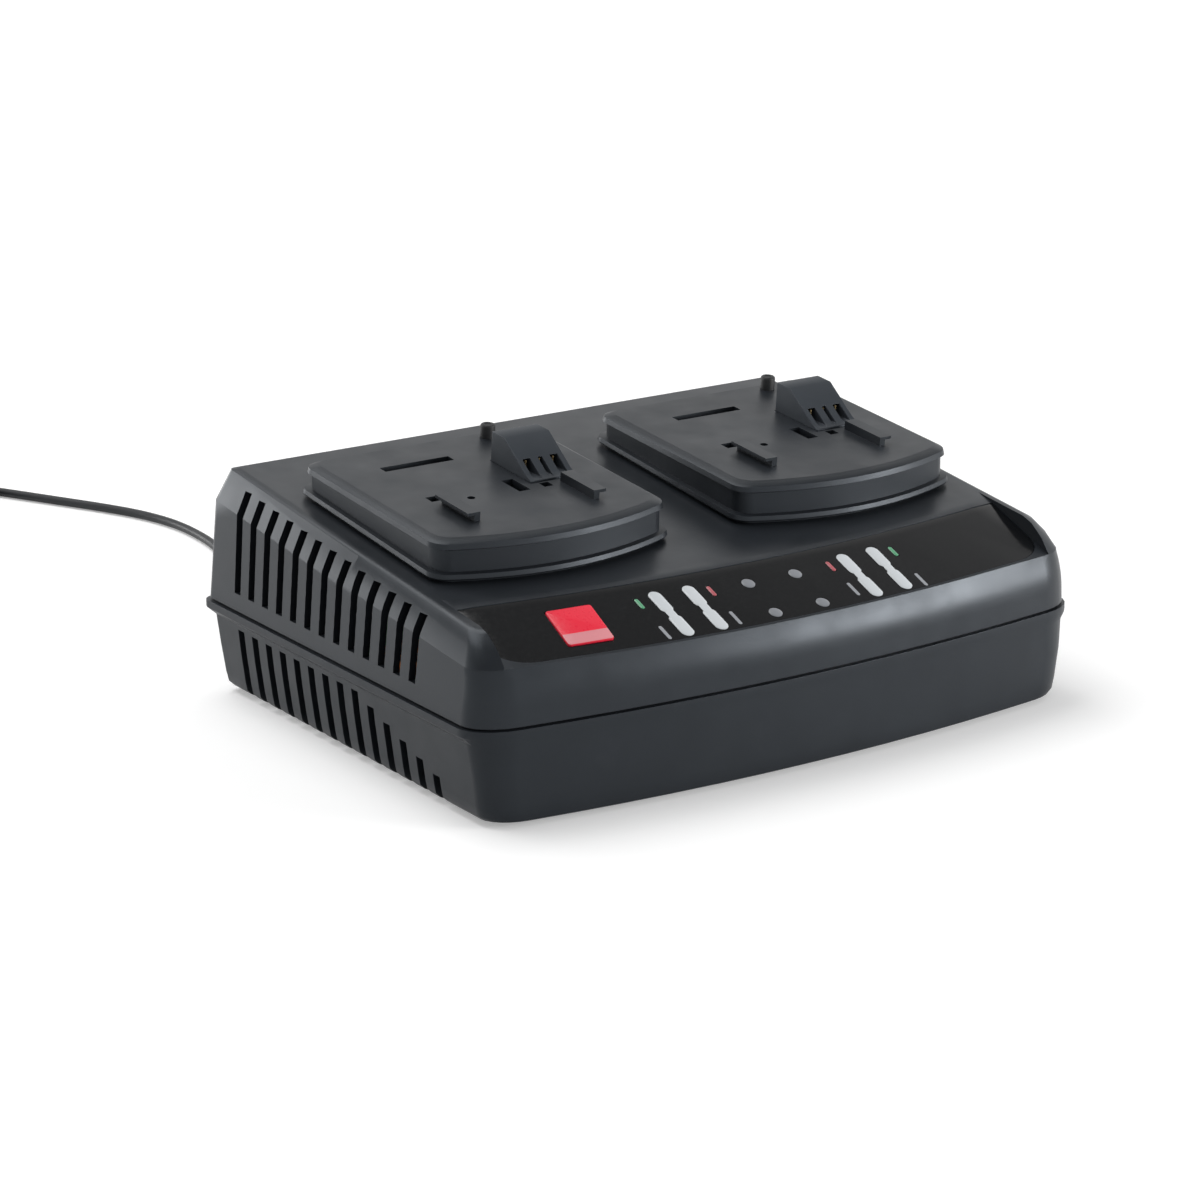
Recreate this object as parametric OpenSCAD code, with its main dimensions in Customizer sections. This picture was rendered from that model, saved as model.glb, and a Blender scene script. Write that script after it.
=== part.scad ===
/* [Case] */
// Width of the case across its rim
body_w = 282; // [276:1:300]
// Depth of the case from the middle of the front to the rear of the rim
body_d = 213.5; // [209:0.5:225]
// How far the front bows forward at its middle
front_bow = 11.5; // [8:0.5:14]
// Depth of the two front corners, in plan, which are half as wide again
front_corner_r = 15; // [14:1:20]
// Radius of the two rear corners, in plan
rear_corner_r = 5; // [4:0.5:9]
// Height of the top of the lower case's rim
seam_z = 37.8; // [36.8:0.2:39.4]
// Height of the dark groove between the two halves
seam_gap = 0.8; // [0.4:0.1:1.2]
// Thickness of the rim
rim_h = 3; // [2:0.5:4]
// Wall of both halves
wall = 2.6; // [2.2:0.1:3]
// Height of the cover's top over the middle of the case
top_z = 80.8; // [78:0.2:86]
// Rise of the top towards the rear, per millimetre
top_rise = 0.1165; // [0.1:0.005:0.13]

/* [Louvres] */
// Louvres on each side of the cover
louvre_count = 13; // [9:1:13]
// Distance from one louvre to the next
louvre_pitch = 10.85; // [10:0.05:11]
// Width of one louvre
louvre_w = 4.7; // [3.5:0.1:5.5]
// Place of the rearmost louvre
louvre_rear_y = 80.4; // [78:0.2:83]
// Height of the foot of the louvres above the seam
louvre_foot = 7.6; // [6.6:0.2:10]

/* [Docks] */
// Distance from each side of the case to the middle of its dock
dock_side_in = 72.3; // [71.5:0.1:74]
// Width of a dock plate across its flange
dock_w = 107; // [103:0.5:109]
// Place of the middle of a dock's front edge
dock_front_y = -49; // [-50:0.5:-45]
// Place of a dock's rear edge
dock_rear_y = 61.2; // [59:0.2:65]
// How far a dock's front bows forward
dock_bow = 9.6; // [7:0.2:11]
// Height of a dock's top over the middle of the case
dock_z = 96.1; // [94:0.1:100]
// Rise of a dock's top towards the rear, per millimetre
dock_rise = 0.09; // [0.075:0.005:0.105]
// Thickness of a dock's top
dock_t = 2.5; // [2:0.1:3]
// Height of the terminal tower above a dock's top
tower_h = 12; // [10:0.5:14]

/* [Indicators] */
// Middle of the row of indicators
indicator_x = 2; // [-2:0.5:4]
// Thickness of the indicator panel
panel_t = 1.8; // [1.4:0.1:2]
// Length of one light window
window_l = 13; // [9:0.5:13]
// Width of one light window
window_w = 5.6; // [4:0.2:6]
// Width of the badge plate
badge_w = 19; // [15:0.5:21]
// Length of the badge plate up the slope
badge_l = 20.5; // [16:0.5:22]

/* [Inside] */
// Height of the main board's underside above the floor of the case
board_stand = 9.9; // [8:0.1:11]
// Gap between each side of the case and the main board
board_side_in = 43; // [42:1:46]
// Depth of the main board
board_d = 150; // [146:1:152]
// Size of the square fan
fan_size = 50; // [44:1:52]
// Depth of the fan
fan_t = 15; // [13:0.5:16]
// Radius of the fan's shaft
fan_shaft_r = 1; // [0.8:0.1:1.4]

/* [Cord] */
// Diameter of the mains cord
cord_d = 4; // [3.6:0.1:4.4]
// Length of the tapered tail of the strain relief
relief_l = 33.2; // [28:0.2:34]
// Diameter of a plug pin
pin_d = 4; // [3.8:0.1:4.2]

/* [Hidden] */

$fn = 40;
bow_steps = 12;
corner_steps = 6;
corner_wide = 1.5;
nose_steps = 4;
through = 1;

half_w = body_w / 2;
half_d = body_d / 2;
curve = front_bow / (half_w * half_w);
top_angle = atan(top_rise);
dock_angle = atan(dock_rise);
dock_x = half_w - dock_side_in;
dock_curve = dock_bow / (50 * 50);

// Insets of the cover's outline from the rim, and heights below its top
cover_foot_in = 1.4;
band_top = 7.7;
band_in = 1.9;
nose_in = 4.5;
nose_drop = 9.8;
shoulder_in = 4;
shoulder_drop = 13.6;
slope_in = 39.5;
edge_drop = 1.2;
side_edge_in = 9.8;
side_top_in = 12.6;
top_corner_r = 14;
// Cheek at each end of the slope, which carries the top on towards the front
cheek_in = 14.4;
cheek_run = [9, 13];
rear_edge_in = 7.9;
rear_top_in = 11;
skirt_in = 3.4;
skirt_front_in = 2.8;
skirt_t = 2.6;
skirt_h = 4.2;

// Lower case
case_z = 1.5;
floor_z = case_z + wall;
lower_corner_r = 11;
ledge_in = [skirt_front_in, skirt_in, skirt_in] + (skirt_t + 0.2) * [1, 1, 1];
post_r = 3.6;
boss_r = 5;
cover_boss_r = 4.6;
screw_r = 1.9;
thread_gap = 0.05;
head_r = 3.8;
head_h = 3;
head_z = 10;
screw_grip = 16;
case_screw_places = [[half_w - 27, half_d - 17.5], [half_w - 27, -half_d + 39.5], [40, half_d - 14.5]];
foot_r = 9;
foot_sink = 1;
foot_places = [[half_w - 50, half_d - 29.5], [half_w - 50, -half_d + 33.5]];

// Where the cord leaves the case, and its clamp, which keeps clear of the main board
cord_r = cord_d / 2;
cord_x = 69 - half_w;
cord_z = 22;
pad_y = [half_d - 11, half_d - 3.8];
pad_r = 9;
relief_bore_r = 4.5;
relief_y = pad_y[1] + 2 + relief_l;
clamp_w = 24;
clamp_d = 8;
clamp_y = pad_y[0] - 8.75 - clamp_d / 2;
board_gap = 2;

// Main board
board_t = 1.6;
board_w = body_w - 2 * board_side_in;
board_x = -2;
board_y = clamp_y - clamp_d / 2 - board_gap - board_d / 2;
board_z = floor_z + board_stand;
board_top = board_z + board_t;
board_screw_r = 1.4;
board_screw_in = 6;
board_screw_xs = [-board_w / 2 + board_screw_in, 0, board_w / 2 - board_screw_in];
board_screw_ys = [-board_d / 2 + board_screw_in, board_d / 2 - board_screw_in];

// Fan, whose shaft lies along X
fan_x = half_w - 22.5;
fan_y = 15.3;
fan_pad = 4;
fan_z = floor_z + fan_pad + fan_size / 2;
fan_rib = 1.8;
fan_gap = 0.3;
fan_bore_r = fan_size / 2 - 2;
hub_r = 10.5;
shaft_gap = 0.05;

// Dock fittings
tower_x = [13.5, 35];
tower_y = [-1.2, 28];
tower_toe = [4, 2];
tower_ramp = 20;
fit_gap = 0.3;
block_rim = 3;
block_t = 2;
blade_us = [18, 24.25, 30.5];
blade_t = 0.8;
blade_slot_ws = [3.4, 1.8, 3.4];
blade_roof = 0.7;
blade_y = [9.4, 17.5];
blade_z = [-11, 5.2];
latch_u = [-29.5, 1.5];
latch_y = 36.8;
latch_w = 4.6;
rail_u = 25.5;
rail_y = [-26.5, -3.5];
rail_h = 3.6;
rail_lip = [5.5, 1.2];
rail_hole = [5.5, 5];
// Corner and size of each drain slot in a dock, and the place of its drain hole
drain_slots = [[5, -6.5, 5, 13], [16.5, -6.5, 4, 4.2]];
drain_hole = [-15.3, -4.2];
drain_r = 1.6;
stop_at = [27.5, 51.4];
stop_r = 3;
stop_h = 5.5;
stop_shank_r = 1.4;
dock_screw_r = 1.4;
dock_screw_reach = 8;
dock_screw_places = [[-43, -23], [43, -23], [-43, 54], [43, 54]];
dock_boss_r = 4;

// Indicator panel, measured up the slope from the nose
slope_run = slope_in - nose_in;
slope_rise = nose_drop + top_rise * slope_run;
panel_tilt = atan(slope_rise / slope_run);
panel_side_in = 15;
panel_front_in = 6;
panel_rear_in = 38.5;
panel_corner_r = 12;
panel_sink = 0.2;
panel_gap = 0.3;
window_gap = 0.1;
bar_xs = [36.2, 51];
window_ts = [9, 23.5];
dot_r = 2.7;
dot_x = 11;
dot_ts = [6.2, 24.8];
small_window = [1.8, 6];
small_xs = [28, 59.5];
small_t = 24.5;
badge_x = panel_side_in + 37.5 - half_w;
badge_s = 17.5;
badge_sink = 0.8;
badge_proud = 0.6;
led_board_depth = 9;
led_board = [136, 29, 1.6];
led_board_s = 16.5;
led_h = 1.6;
led_post_r = 3;
led_post_places = [[-63, 6], [-63, 27], [63, 6], [63, 27]];
led_screw_r = 1.15;

// Runs of the cord, measured from where it leaves the relief and from the floor
cord_run = [[0, 0.15, 22], [0, 5.85, 21.6], [0.2, 11.85, 20], [0.5, 18.35, 17], [1, 24.85, 12.8],
  [1.6, 30.85, 8.6], [2.4, 37.25, 5.2], [3.4, 44.25, 3.1], [4.8, 52.65, 2.2], [6.8, 62.65, 2],
  [9.1, 72.65, 2], [11.8, 82.65, 2], [14.8, 92.65, 2], [18, 102.65, 2], [21, 112.65, 2],
  [23.8, 122.65, 2], [26, 131.65, 2], [27.6, 140.65, 2], [28.6, 150.65, 2], [29, 160.65, 2],
  [28.7, 170.65, 2], [27.4, 180.65, 2], [24.8, 191.65, 2], [21, 202.65, 2], [16, 213.65, 2],
  [10.4, 224.65, 2], [4.4, 235.65, 2], [-1.6, 246.65, 2], [-7.6, 257.65, 2], [-13.4, 268.15, 2],
  [-19, 278.25, 2]];
route = [for (q = cord_run) [cord_x + q[0], relief_y + q[1], q[2]]];
coil_at = [cord_x - 50, relief_y + 276.85];
coil_r = 23;
coil_half = 6;
tail_run = [[-26.2, 16.2, 9.8], [-32.6, 12.5, 9], [-39, 8.8, 7.8], [-45.4, 5.1, 7.2], [-51.8, 1.4, 7]];
tail_route = [for (q = tail_run) [coil_at[0] + q[0], coil_at[1] + q[1], q[2]]];
plug_turn = 210;
plug_l = 36;
plug_w = 35;
plug_t = 14;
plug_at = tail_route[4];
pin_l = 19;
pin_gap = 18.6;

function clamp01(v) = max(0, min(1, v));
function top_at(y) = top_z + top_rise * y;
function dock_top_at(y) = dock_z + dock_rise * y;
function bow_at(x) = curve * x * x;
function bow_turn(x) = atan(2 * curve * x);
function arc(cx, cy, rx, ry, a, b) =
  [for (i = [0:corner_steps]) let (t = a + (b - a) * i / corner_steps)
    [cx + rx * cos(t), cy + ry * sin(t)]];

// Plan outline with a bowed front: half width, front and rear places, curve of the front, depth of
// the front corners, radius of the rear ones, and how many times as wide as deep the front ones are
function plan(hx, y0, y1, k, rf, rr, wide = 1) =
  let (rx = rf * wide, turn = atan(2 * wide * k * (hx - rx)), xe = hx - rx * (1 - sin(turn)),
    cy = y0 + k * xe * xe + rf * cos(turn))
  concat(
    [for (i = [1:bow_steps - 1]) let (x = xe * (2 * i / bow_steps - 1)) [x, y0 + k * x * x]],
    arc(hx - rx, cy, rx, rf, turn - 90, 0),
    arc(hx - rr, y1 - rr, rr, rr, 0, 90),
    arc(rr - hx, y1 - rr, rr, rr, 90, 180),
    arc(rx - hx, cy, rx, rf, 180, 270 - turn));

// Outline of the case, moved in at the front, the sides and the rear
function outline(f, s, b, r) =
  plan(half_w - s, -half_d + f, half_d - b, curve, r, max(2, rear_corner_r - b / 3), corner_wide);
// How much a point belongs to the nose: 1 along the front, 0 along the sides
function nose_part(y) = clamp01((-y - half_d + 45.5) / 35);
function ring(f, s, b, r, z, rise = 0, nose = 0) =
  [for (q = outline(f, s, b, r)) [q[0], q[1], z + rise * q[1] + nose * nose_part(q[1])]];

// Closed skin through a stack of rings, each with the same number of points
module loft(rings) {
  n = len(rings[0]);
  m = len(rings);
  cells = [for (k = [0:m - 2], i = [0:n - 1]) [k * n + i, k * n + (i + 1) % n]];
  polyhedron(
    points = [for (r = rings) each r],
    faces = concat(
      [[for (i = [0:n - 1]) i]],
      [for (c = cells) [c[1], c[0], c[0] + n]],
      [for (c = cells) [c[1], c[0] + n, c[1] + n]],
      [[for (i = [n - 1:-1:0]) (m - 1) * n + i]]),
    convexity = 8);
}

function unit(v) = v / norm(v);
function along(p, i) = unit(p[min(i + 1, len(p) - 1)] - p[max(i - 1, 0)]);
function across(d) = abs(d[2]) > 0.9 ? unit(cross(d, [0, 1, 0])) : unit(cross(d, [0, 0, 1]));
function upward(d) = cross(across(d), d);
// Round tube swept along a list of points
module tube(p, r, sides = 8) {
  loft([for (i = [0:len(p) - 1]) let (d = along(p, i))
    [for (k = [0:sides - 1]) let (t = -360 * k / sides)
      p[i] + r * cos(t) * across(d) + r * sin(t) * upward(d)]]);
}

module both_sides() {
  children();
  mirror([1, 0, 0]) children();
}
module both_docks() {
  translate([-dock_x, 0, 0]) children();
  translate([dock_x, 0, 0]) children();
}
// Frame whose Z stands square to the cover's top, at a place on it
module on_top(x, y) {
  translate([x, y, top_at(y)]) rotate([top_angle, 0, 0]) children();
}
// The same on a dock's top, measured from the dock's centre
module on_dock(x, y) {
  translate([x, y, dock_top_at(y)]) rotate([dock_angle, 0, 0]) children();
}
// Frame on the slope: X along it, Y up it, Z out of it, with its origin at the nose
module panel_frame() {
  y = -half_d + nose_in;
  translate([0, y, top_at(y) - nose_drop]) rotate([panel_tilt, 0, 0]) children();
}
// Place of a point of the bowed slope in that frame
function bow_t(x) = bow_at(x) * (cos(panel_tilt) + top_rise * sin(panel_tilt));
function bow_n(x) = bow_at(x) * (top_rise * cos(panel_tilt) - sin(panel_tilt));

// ---- Case halves ----
function cover_rings(i = 0, drop = 0) = concat(
  [ring(1 + i, cover_foot_in + i, cover_foot_in + i, front_corner_r - 1 - i,
    seam_z + (i > 0 ? -2 : seam_gap))],
  [for (e = [0:nose_steps]) let (k = e / nose_steps, z0 = seam_z + band_top)
    ring(1.2 + (nose_in - 1.2) * k * k + i, band_in + (shoulder_in - band_in) * k + i,
      band_in + (nose_in - band_in) * k + i, front_corner_r - 1.5 - 2 * k - i,
      z0 * (1 - k) + (top_z - shoulder_drop - drop) * k, top_rise * k, (shoulder_drop - nose_drop) * k)],
  [ring(slope_in - edge_drop * slope_run / nose_drop + i, side_edge_in + i, rear_edge_in + i,
    top_corner_r - i, top_z - edge_drop - drop, top_rise)],
  [ring(slope_in + 2.5 + i, side_top_in + i, rear_top_in + i, top_corner_r - i, top_z - drop, top_rise)]);
module cover_outer() {
  loft(cover_rings());
}
module cheeks() {
  difference() {
    loft([ring(nose_in - 0.4, shoulder_in, nose_in, front_corner_r - 3.5, top_z - shoulder_drop,
        top_rise, shoulder_drop - nose_drop),
      ring(nose_in + 3.4, shoulder_in + 3, nose_in + 1.5, front_corner_r - 4, top_z - 5.2, top_rise),
      ring(nose_in + cheek_run[0], side_edge_in, rear_edge_in, front_corner_r - 5,
        top_z - edge_drop, top_rise),
      ring(nose_in + cheek_run[1], side_top_in, rear_top_in, front_corner_r - 6, top_z, top_rise)]);
    translate([cheek_in - half_w, -body_d, 0]) cube([body_w - 2 * cheek_in, 2 * body_d, 2 * top_z]);
    translate([-body_w, 0, 0]) cube([2 * body_w, body_d, 2 * top_z]);
  }
}
// Plan of the indicator panel, grown by g all round
module panel_plan(g) {
  difference() {
    polygon(outline(panel_front_in - g, panel_side_in - g, 60, panel_corner_r + g));
    polygon(outline(panel_rear_in + g, 0, 0, front_corner_r));
  }
}
module light_slot(g) {
  hull_l = window_l / 2 - window_w / 2;
  translate([-window_w / 2 - g, -hull_l, -20]) cube([window_w + 2 * g, 2 * hull_l, 40]);
  for (s = [-1, 1]) translate([0, s * hull_l, -20]) cylinder(r = window_w / 2 + g, h = 40);
}
module small_slot(g) {
  translate([-small_window[0] / 2 - g, -small_window[1] / 2 - g, -20])
    cube([small_window[0] + 2 * g, small_window[1] + 2 * g, 40]);
}
module at_slope(x, t) {
  panel_frame() translate([x, t + bow_t(x), 0]) children();
}
// Rods of light windows, each as long as the frame is high, on one side of the row's middle
module side_slots(side, g) {
  for (x = bar_xs, t = window_ts) at_slope(indicator_x + side * x, t) light_slot(g);
  for (x = small_xs) at_slope(indicator_x + side * x, small_t) small_slot(g);
}
module dot_slots(g) {
  for (s = [-1, 1], t = dot_ts)
    at_slope(indicator_x + s * dot_x, t) translate([0, 0, -20]) cylinder(r = dot_r + g, h = 40);
}
module light_openings() {
  side_slots(-1, window_gap);
  side_slots(1, window_gap);
  dot_slots(window_gap);
}

module upper_cover() {
  boss_foot = seam_z;
  color("#3b3e43") difference() {
    union() {
      difference() {
        union() {
          cover_outer();
          cheeks();
          loft([for (z = [seam_z, seam_z + skirt_h])
            ring(skirt_front_in, skirt_in, skirt_in, front_corner_r - 3, z)]);
        }
        loft(cover_rings(wall, wall));
        loft([for (z = [seam_z - through, seam_z + skirt_h + through])
          ring(skirt_front_in + skirt_t, skirt_in + skirt_t, skirt_in + skirt_t, front_corner_r - 5, z)]);
        both_sides() louvres();
      }
      intersection() {
        both_sides() for (q = case_screw_places)
          translate([q[0], q[1], boss_foot]) cylinder(r = cover_boss_r, h = top_z);
        translate([0, 0, -wall / 2]) cover_outer();
      }
      panel_frame() for (q = led_post_places)
        translate([q[0] + indicator_x, q[1], -led_board_depth])
          cylinder(r = led_post_r, h = led_board_depth - 2.6);
    }
    both_sides() for (q = case_screw_places)
      translate([q[0], q[1], boss_foot - through])
        cylinder(r = screw_r + thread_gap, h = screw_grip + 2 * through);
    panel_frame() for (q = led_post_places)
      translate([q[0] + indicator_x, q[1], -led_board_depth - through])
        cylinder(r = led_screw_r + thread_gap, h = 4 + through);
    difference() {
      translate([0, 0, seam_z]) linear_extrude(top_z) panel_plan(panel_gap);
      translate([0, 0, -panel_sink - panel_t]) cover_outer();
    }
    light_openings();
    both_docks() {
      translate([tower_x[0] + 2, tower_y[0] + 3, top_z - 20])
        cube([tower_x[1] - tower_x[0] - 4, tower_y[1] - tower_y[0] - 6, 40]);
      for (q = dock_screw_places) on_top(q[0], q[1])
        translate([0, 0, -10]) cylinder(r = dock_screw_r + 0.3, h = 20);
    }
  }
}
module louvres() {
  for (i = [0:louvre_count - 1]) {
    y = louvre_rear_y - i * louvre_pitch;
    translate([half_w - 20, y - louvre_w / 2, seam_z + louvre_foot])
      cube([22, louvre_w, top_at(y) - 4.4 - seam_z - louvre_foot]);
  }
}

module lower_case() {
  color("#303338") difference() {
    union() {
      difference() {
        loft([ring(3.2, 9.6, 9, lower_corner_r, case_z), ring(1.9, 8.2, 7.6, lower_corner_r, case_z + 0.7),
          ring(1.5, 6.4, 6.6, lower_corner_r, case_z + 2.5),
          ring(1.2, 5.6, 6, lower_corner_r, case_z + 6.5), ring(0.8, 4, 5, lower_corner_r, 20),
          ring(0.4, 2.8, 3.8, lower_corner_r + 2, seam_z - rim_h - 2.8),
          ring(0, 0, 0, front_corner_r, seam_z - rim_h), ring(0, 0, 0, front_corner_r, seam_z)]);
        loft([ring(3.5 + wall, 8.4 + wall, 8.6 + wall, lower_corner_r - 2, floor_z),
          ring(1.3 + wall, 6 + wall, 6.3 + wall, lower_corner_r - 2, floor_z + 2),
          ring(0.8 + wall, 4 + wall, 5 + wall, lower_corner_r - 2, 20),
          ring(ledge_in[0], ledge_in[1], ledge_in[2], lower_corner_r - 2, seam_z - rim_h - 2.8),
          ring(ledge_in[0], ledge_in[1], ledge_in[2], lower_corner_r - 2, seam_z + through)]);
        both_sides() case_vents();
      }
      both_sides() for (q = case_screw_places)
        translate([q[0], q[1], case_z]) cylinder(r = boss_r, h = seam_z - case_z);
      for (x = board_screw_xs, y = board_screw_ys)
        translate([board_x + x, board_y + y, floor_z - 0.5])
          cylinder(r = post_r, h = board_z - floor_z + 0.5);
      fan_cradle();
      translate([cord_x - clamp_w / 2, clamp_y - clamp_d / 2, floor_z - 0.5])
        cube([clamp_w, clamp_d, cord_z - floor_z + 0.5]);
      translate([cord_x, pad_y[0], cord_z]) rotate([-90, 0, 0])
        cylinder(r = pad_r, h = pad_y[1] - pad_y[0]);
    }
    both_sides() for (q = case_screw_places) {
      translate([q[0], q[1], case_z - through]) cylinder(r = head_r + 0.4, h = head_z - case_z + through);
      translate([q[0], q[1], case_z]) cylinder(r = screw_r + 0.3, h = seam_z);
    }
    for (x = board_screw_xs, y = board_screw_ys)
      translate([board_x + x, board_y + y, floor_z + 1])
        cylinder(r = board_screw_r + thread_gap, h = board_stand);
    both_sides() for (q = foot_places)
      translate([q[0], q[1], case_z - through]) cylinder(r = foot_r + 0.1, h = foot_sink + through);
    translate([cord_x, pad_y[0] - through, cord_z]) rotate([-90, 0, 0])
      cylinder(r = relief_bore_r, h = pad_y[1] - pad_y[0] + 2 * through);
    translate([cord_x, clamp_y - clamp_d, cord_z]) rotate([-90, 0, 0])
      cylinder(r = cord_r, h = 2 * clamp_d);
    for (s = [-1, 1]) translate([cord_x + s * 8, clamp_y, cord_z - 10])
      cylinder(r = board_screw_r + thread_gap, h = 12);
  }
}
// Slots of the lower case: the front ones end lower and lower
function vent_top(i) = seam_z - rim_h - 4.8 - max(0, i - 8) * 3.6;
module case_vents() {
  for (i = [0:louvre_count]) {
    y = louvre_rear_y - i * louvre_pitch;
    translate([half_w - 12.5, y - louvre_w / 2, -through]) cube([16, louvre_w, vent_top(i) + through]);
  }
}
module fan_cradle() {
  d = fan_t / 2 + fan_gap;
  translate([fan_x - d - fan_rib, fan_y - 20, floor_z - 0.5]) cube([2 * (d + fan_rib), 40, fan_pad + 0.5]);
  for (x = [fan_x - d - fan_rib, fan_x + d])
    translate([x, fan_y - 20, floor_z - 0.5]) cube([fan_rib, 40, fan_pad + 10]);
}

// ---- Docks ----
// Ring of a dock: inset from its flange, share of the way from the cover to the dock's top, lift
function dock_ring(i, t, lift) =
  [for (q = plan(dock_w / 2 - i, dock_front_y + i, dock_rear_y - i, dock_curve, 8, 6))
    [q[0], q[1], top_at(q[1]) * (1 - t) + dock_top_at(q[1]) * t + lift]];
module dock_skin() {
  loft([dock_ring(3, 0, 0), dock_ring(3, 0, 1.2), dock_ring(0.3, 0, 1.4), dock_ring(0, 0, 2),
    dock_ring(0.4, 0, 3.6), dock_ring(2.6, 0, 3.9), dock_ring(2.6, 1, -4.2), dock_ring(1.4, 1, -3.6),
    dock_ring(1.8, 1, -1.6), dock_ring(5, 1, 0)]);
}
module dock_plate() {
  difference() {
    union() {
      difference() {
        dock_skin();
        loft([dock_ring(5.4, 0, -through), dock_ring(5.4, 1, -5.5), dock_ring(7.4, 1, -dock_t)]);
      }
      intersection() {
        for (q = dock_screw_places) on_top(q[0], q[1]) cylinder(r = dock_boss_r, h = 30);
        dock_skin();
      }
      for (s = [-1, 1]) guide_rail(s);
    }
    for (q = dock_screw_places) on_top(q[0], q[1])
      translate([0, 0, -through])
        cylinder(r = dock_screw_r + thread_gap, h = dock_screw_reach + 2 * through);
    on_dock(0, 0) translate([tower_x[0], tower_y[0], -dock_t - 5])
      cube([tower_x[1] - tower_x[0], tower_y[1] - tower_y[0], dock_t + 10]);
    translate([latch_u[0], latch_y - latch_w / 2, dock_top_at(latch_y) - dock_t - 5])
      cube([latch_u[1] - latch_u[0], latch_w, dock_t + 10]);
    on_dock(0, 0) translate([-rail_u - rail_hole[0], rail_y[1] + 2, -dock_t - 5])
      cube([rail_hole[0], rail_hole[1], dock_t + 10]);
    on_dock(stop_at[0], stop_at[1]) translate([0, 0, -dock_t - 5])
      cylinder(r = stop_shank_r + thread_gap, h = dock_t + 10);
    for (q = drain_slots) on_dock(0, 0)
      translate([q[0], q[1], -dock_t - 5]) cube([q[2], q[3], dock_t + 10]);
    on_dock(drain_hole[0], drain_hole[1])
      translate([0, 0, -dock_t - 5]) cylinder(r = drain_r, h = dock_t + 10);
  }
}
// Hooked rail that a battery's foot slides under
module guide_rail(side) {
  on_dock(0, 0) mirror([side < 0 ? 1 : 0, 0, 0]) {
    translate([rail_u, rail_y[0], -0.5]) cube([2.5, rail_y[1] - rail_y[0], rail_h + 0.5]);
    translate([rail_u, rail_y[0], rail_h - rail_lip[1]])
      cube([rail_lip[0], rail_y[1] - rail_y[0], rail_lip[1]]);
  }
}
module left_dock_plate() {
  color("#44474c") translate([-dock_x, 0, 0]) dock_plate();
}
module right_dock_plate() {
  color("#44474c") translate([dock_x, 0, 0]) dock_plate();
}
module terminal_block() {
  x0 = tower_x[0] + fit_gap;
  w = tower_x[1] - tower_x[0] - 2 * fit_gap;
  y0 = tower_y[0] + fit_gap;
  y1 = tower_y[1] - fit_gap;
  difference() {
    union() {
      on_dock(0, 0) {
        translate([x0 + w, 0, 0]) rotate([90, 0, -90]) linear_extrude(w)
          polygon([[-y0, -dock_t - block_t], [-y0, 0.6], [-y0 - tower_toe[0], tower_toe[1]],
            [-y0 - tower_ramp, tower_h], [-y1, tower_h], [-y1, -dock_t - block_t]]);
        translate([tower_x[0] - block_rim, tower_y[0] - block_rim, -dock_t - block_t])
          cube([w + 2 * (fit_gap + block_rim), tower_y[1] - tower_y[0] + 2 * block_rim, block_t]);
      }
      difference() {
        for (x = [tower_x[0] - 2, tower_x[1] - 1], y = [tower_y[0] - 2, tower_y[1] - 1])
          translate([x, y, top_at(y) - 2]) cube([3, 3, dock_top_at(y) - top_at(y) + 2 - dock_t - 0.5]);
        on_top(0, 0) translate([0, -100, -20]) cube([80, 300, 20]);
      }
    }
    on_dock(0, 0) for (k = [0:2]) {
      u = blade_us[k];
      w = blade_slot_ws[k];
      translate([u - w / 2, tower_y[0] - through, 0.8])
        cube([w, blade_y[1] - tower_y[0] + 1.3 + through, blade_z[1] + blade_roof - 0.8]);
      translate([u - blade_t / 2 - thread_gap, blade_y[0] - thread_gap, -10])
        cube([blade_t + 2 * thread_gap, blade_y[1] - blade_y[0] + 2 * thread_gap,
          10 + blade_z[1] + blade_roof]);
    }
  }
}
module left_terminal_block() {
  color("#26282c") translate([-dock_x, 0, 0]) terminal_block();
}
module right_terminal_block() {
  color("#26282c") translate([dock_x, 0, 0]) terminal_block();
}
module contact_blades() {
  on_dock(0, 0) for (u = blade_us)
    translate([u - blade_t / 2, blade_y[0], blade_z[0]])
      cube([blade_t, blade_y[1] - blade_y[0], blade_z[1] - blade_z[0]]);
}
module left_contact_blades() {
  color("#c9a24e") translate([-dock_x, 0, 0]) contact_blades();
}
module right_contact_blades() {
  color("#c9a24e") translate([dock_x, 0, 0]) contact_blades();
}
// Peg behind each tower that a battery comes to rest against
module rear_stops() {
  color("#1d1f22") both_docks() on_dock(stop_at[0], stop_at[1]) {
    cylinder(r = stop_r, h = stop_h - 1);
    translate([0, 0, stop_h - 1]) cylinder(r1 = stop_r, r2 = stop_r - 0.8, h = 1);
    translate([0, 0, -dock_t - 1]) cylinder(r = stop_shank_r, h = dock_t + 1);
    translate([0, 0, -dock_t - 2]) cylinder(r = stop_shank_r + 0.5, h = 2);
  }
}
module dock_screws() {
  under = wall * cos(top_angle);
  color("#b9bcc0") both_docks() for (q = dock_screw_places) on_top(q[0], q[1]) {
    translate([0, 0, -under - 2]) cylinder(r = 3, h = 2);
    translate([0, 0, -under]) cylinder(r = dock_screw_r, h = under + dock_screw_reach);
  }
}

// ---- Indicators ----
module indicator_panel() {
  color("#15171a") difference() {
    intersection() {
      translate([0, 0, -panel_sink]) cover_outer();
      translate([0, 0, seam_z]) linear_extrude(top_z) panel_plan(0);
    }
    translate([0, 0, -panel_sink - panel_t]) cover_outer();
    light_openings();
    badge_frame() translate([-badge_w / 2 - window_gap, -badge_l / 2 - window_gap, -badge_sink])
      cube([badge_w + 2 * window_gap, badge_l + 2 * window_gap, 10]);
  }
}
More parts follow.
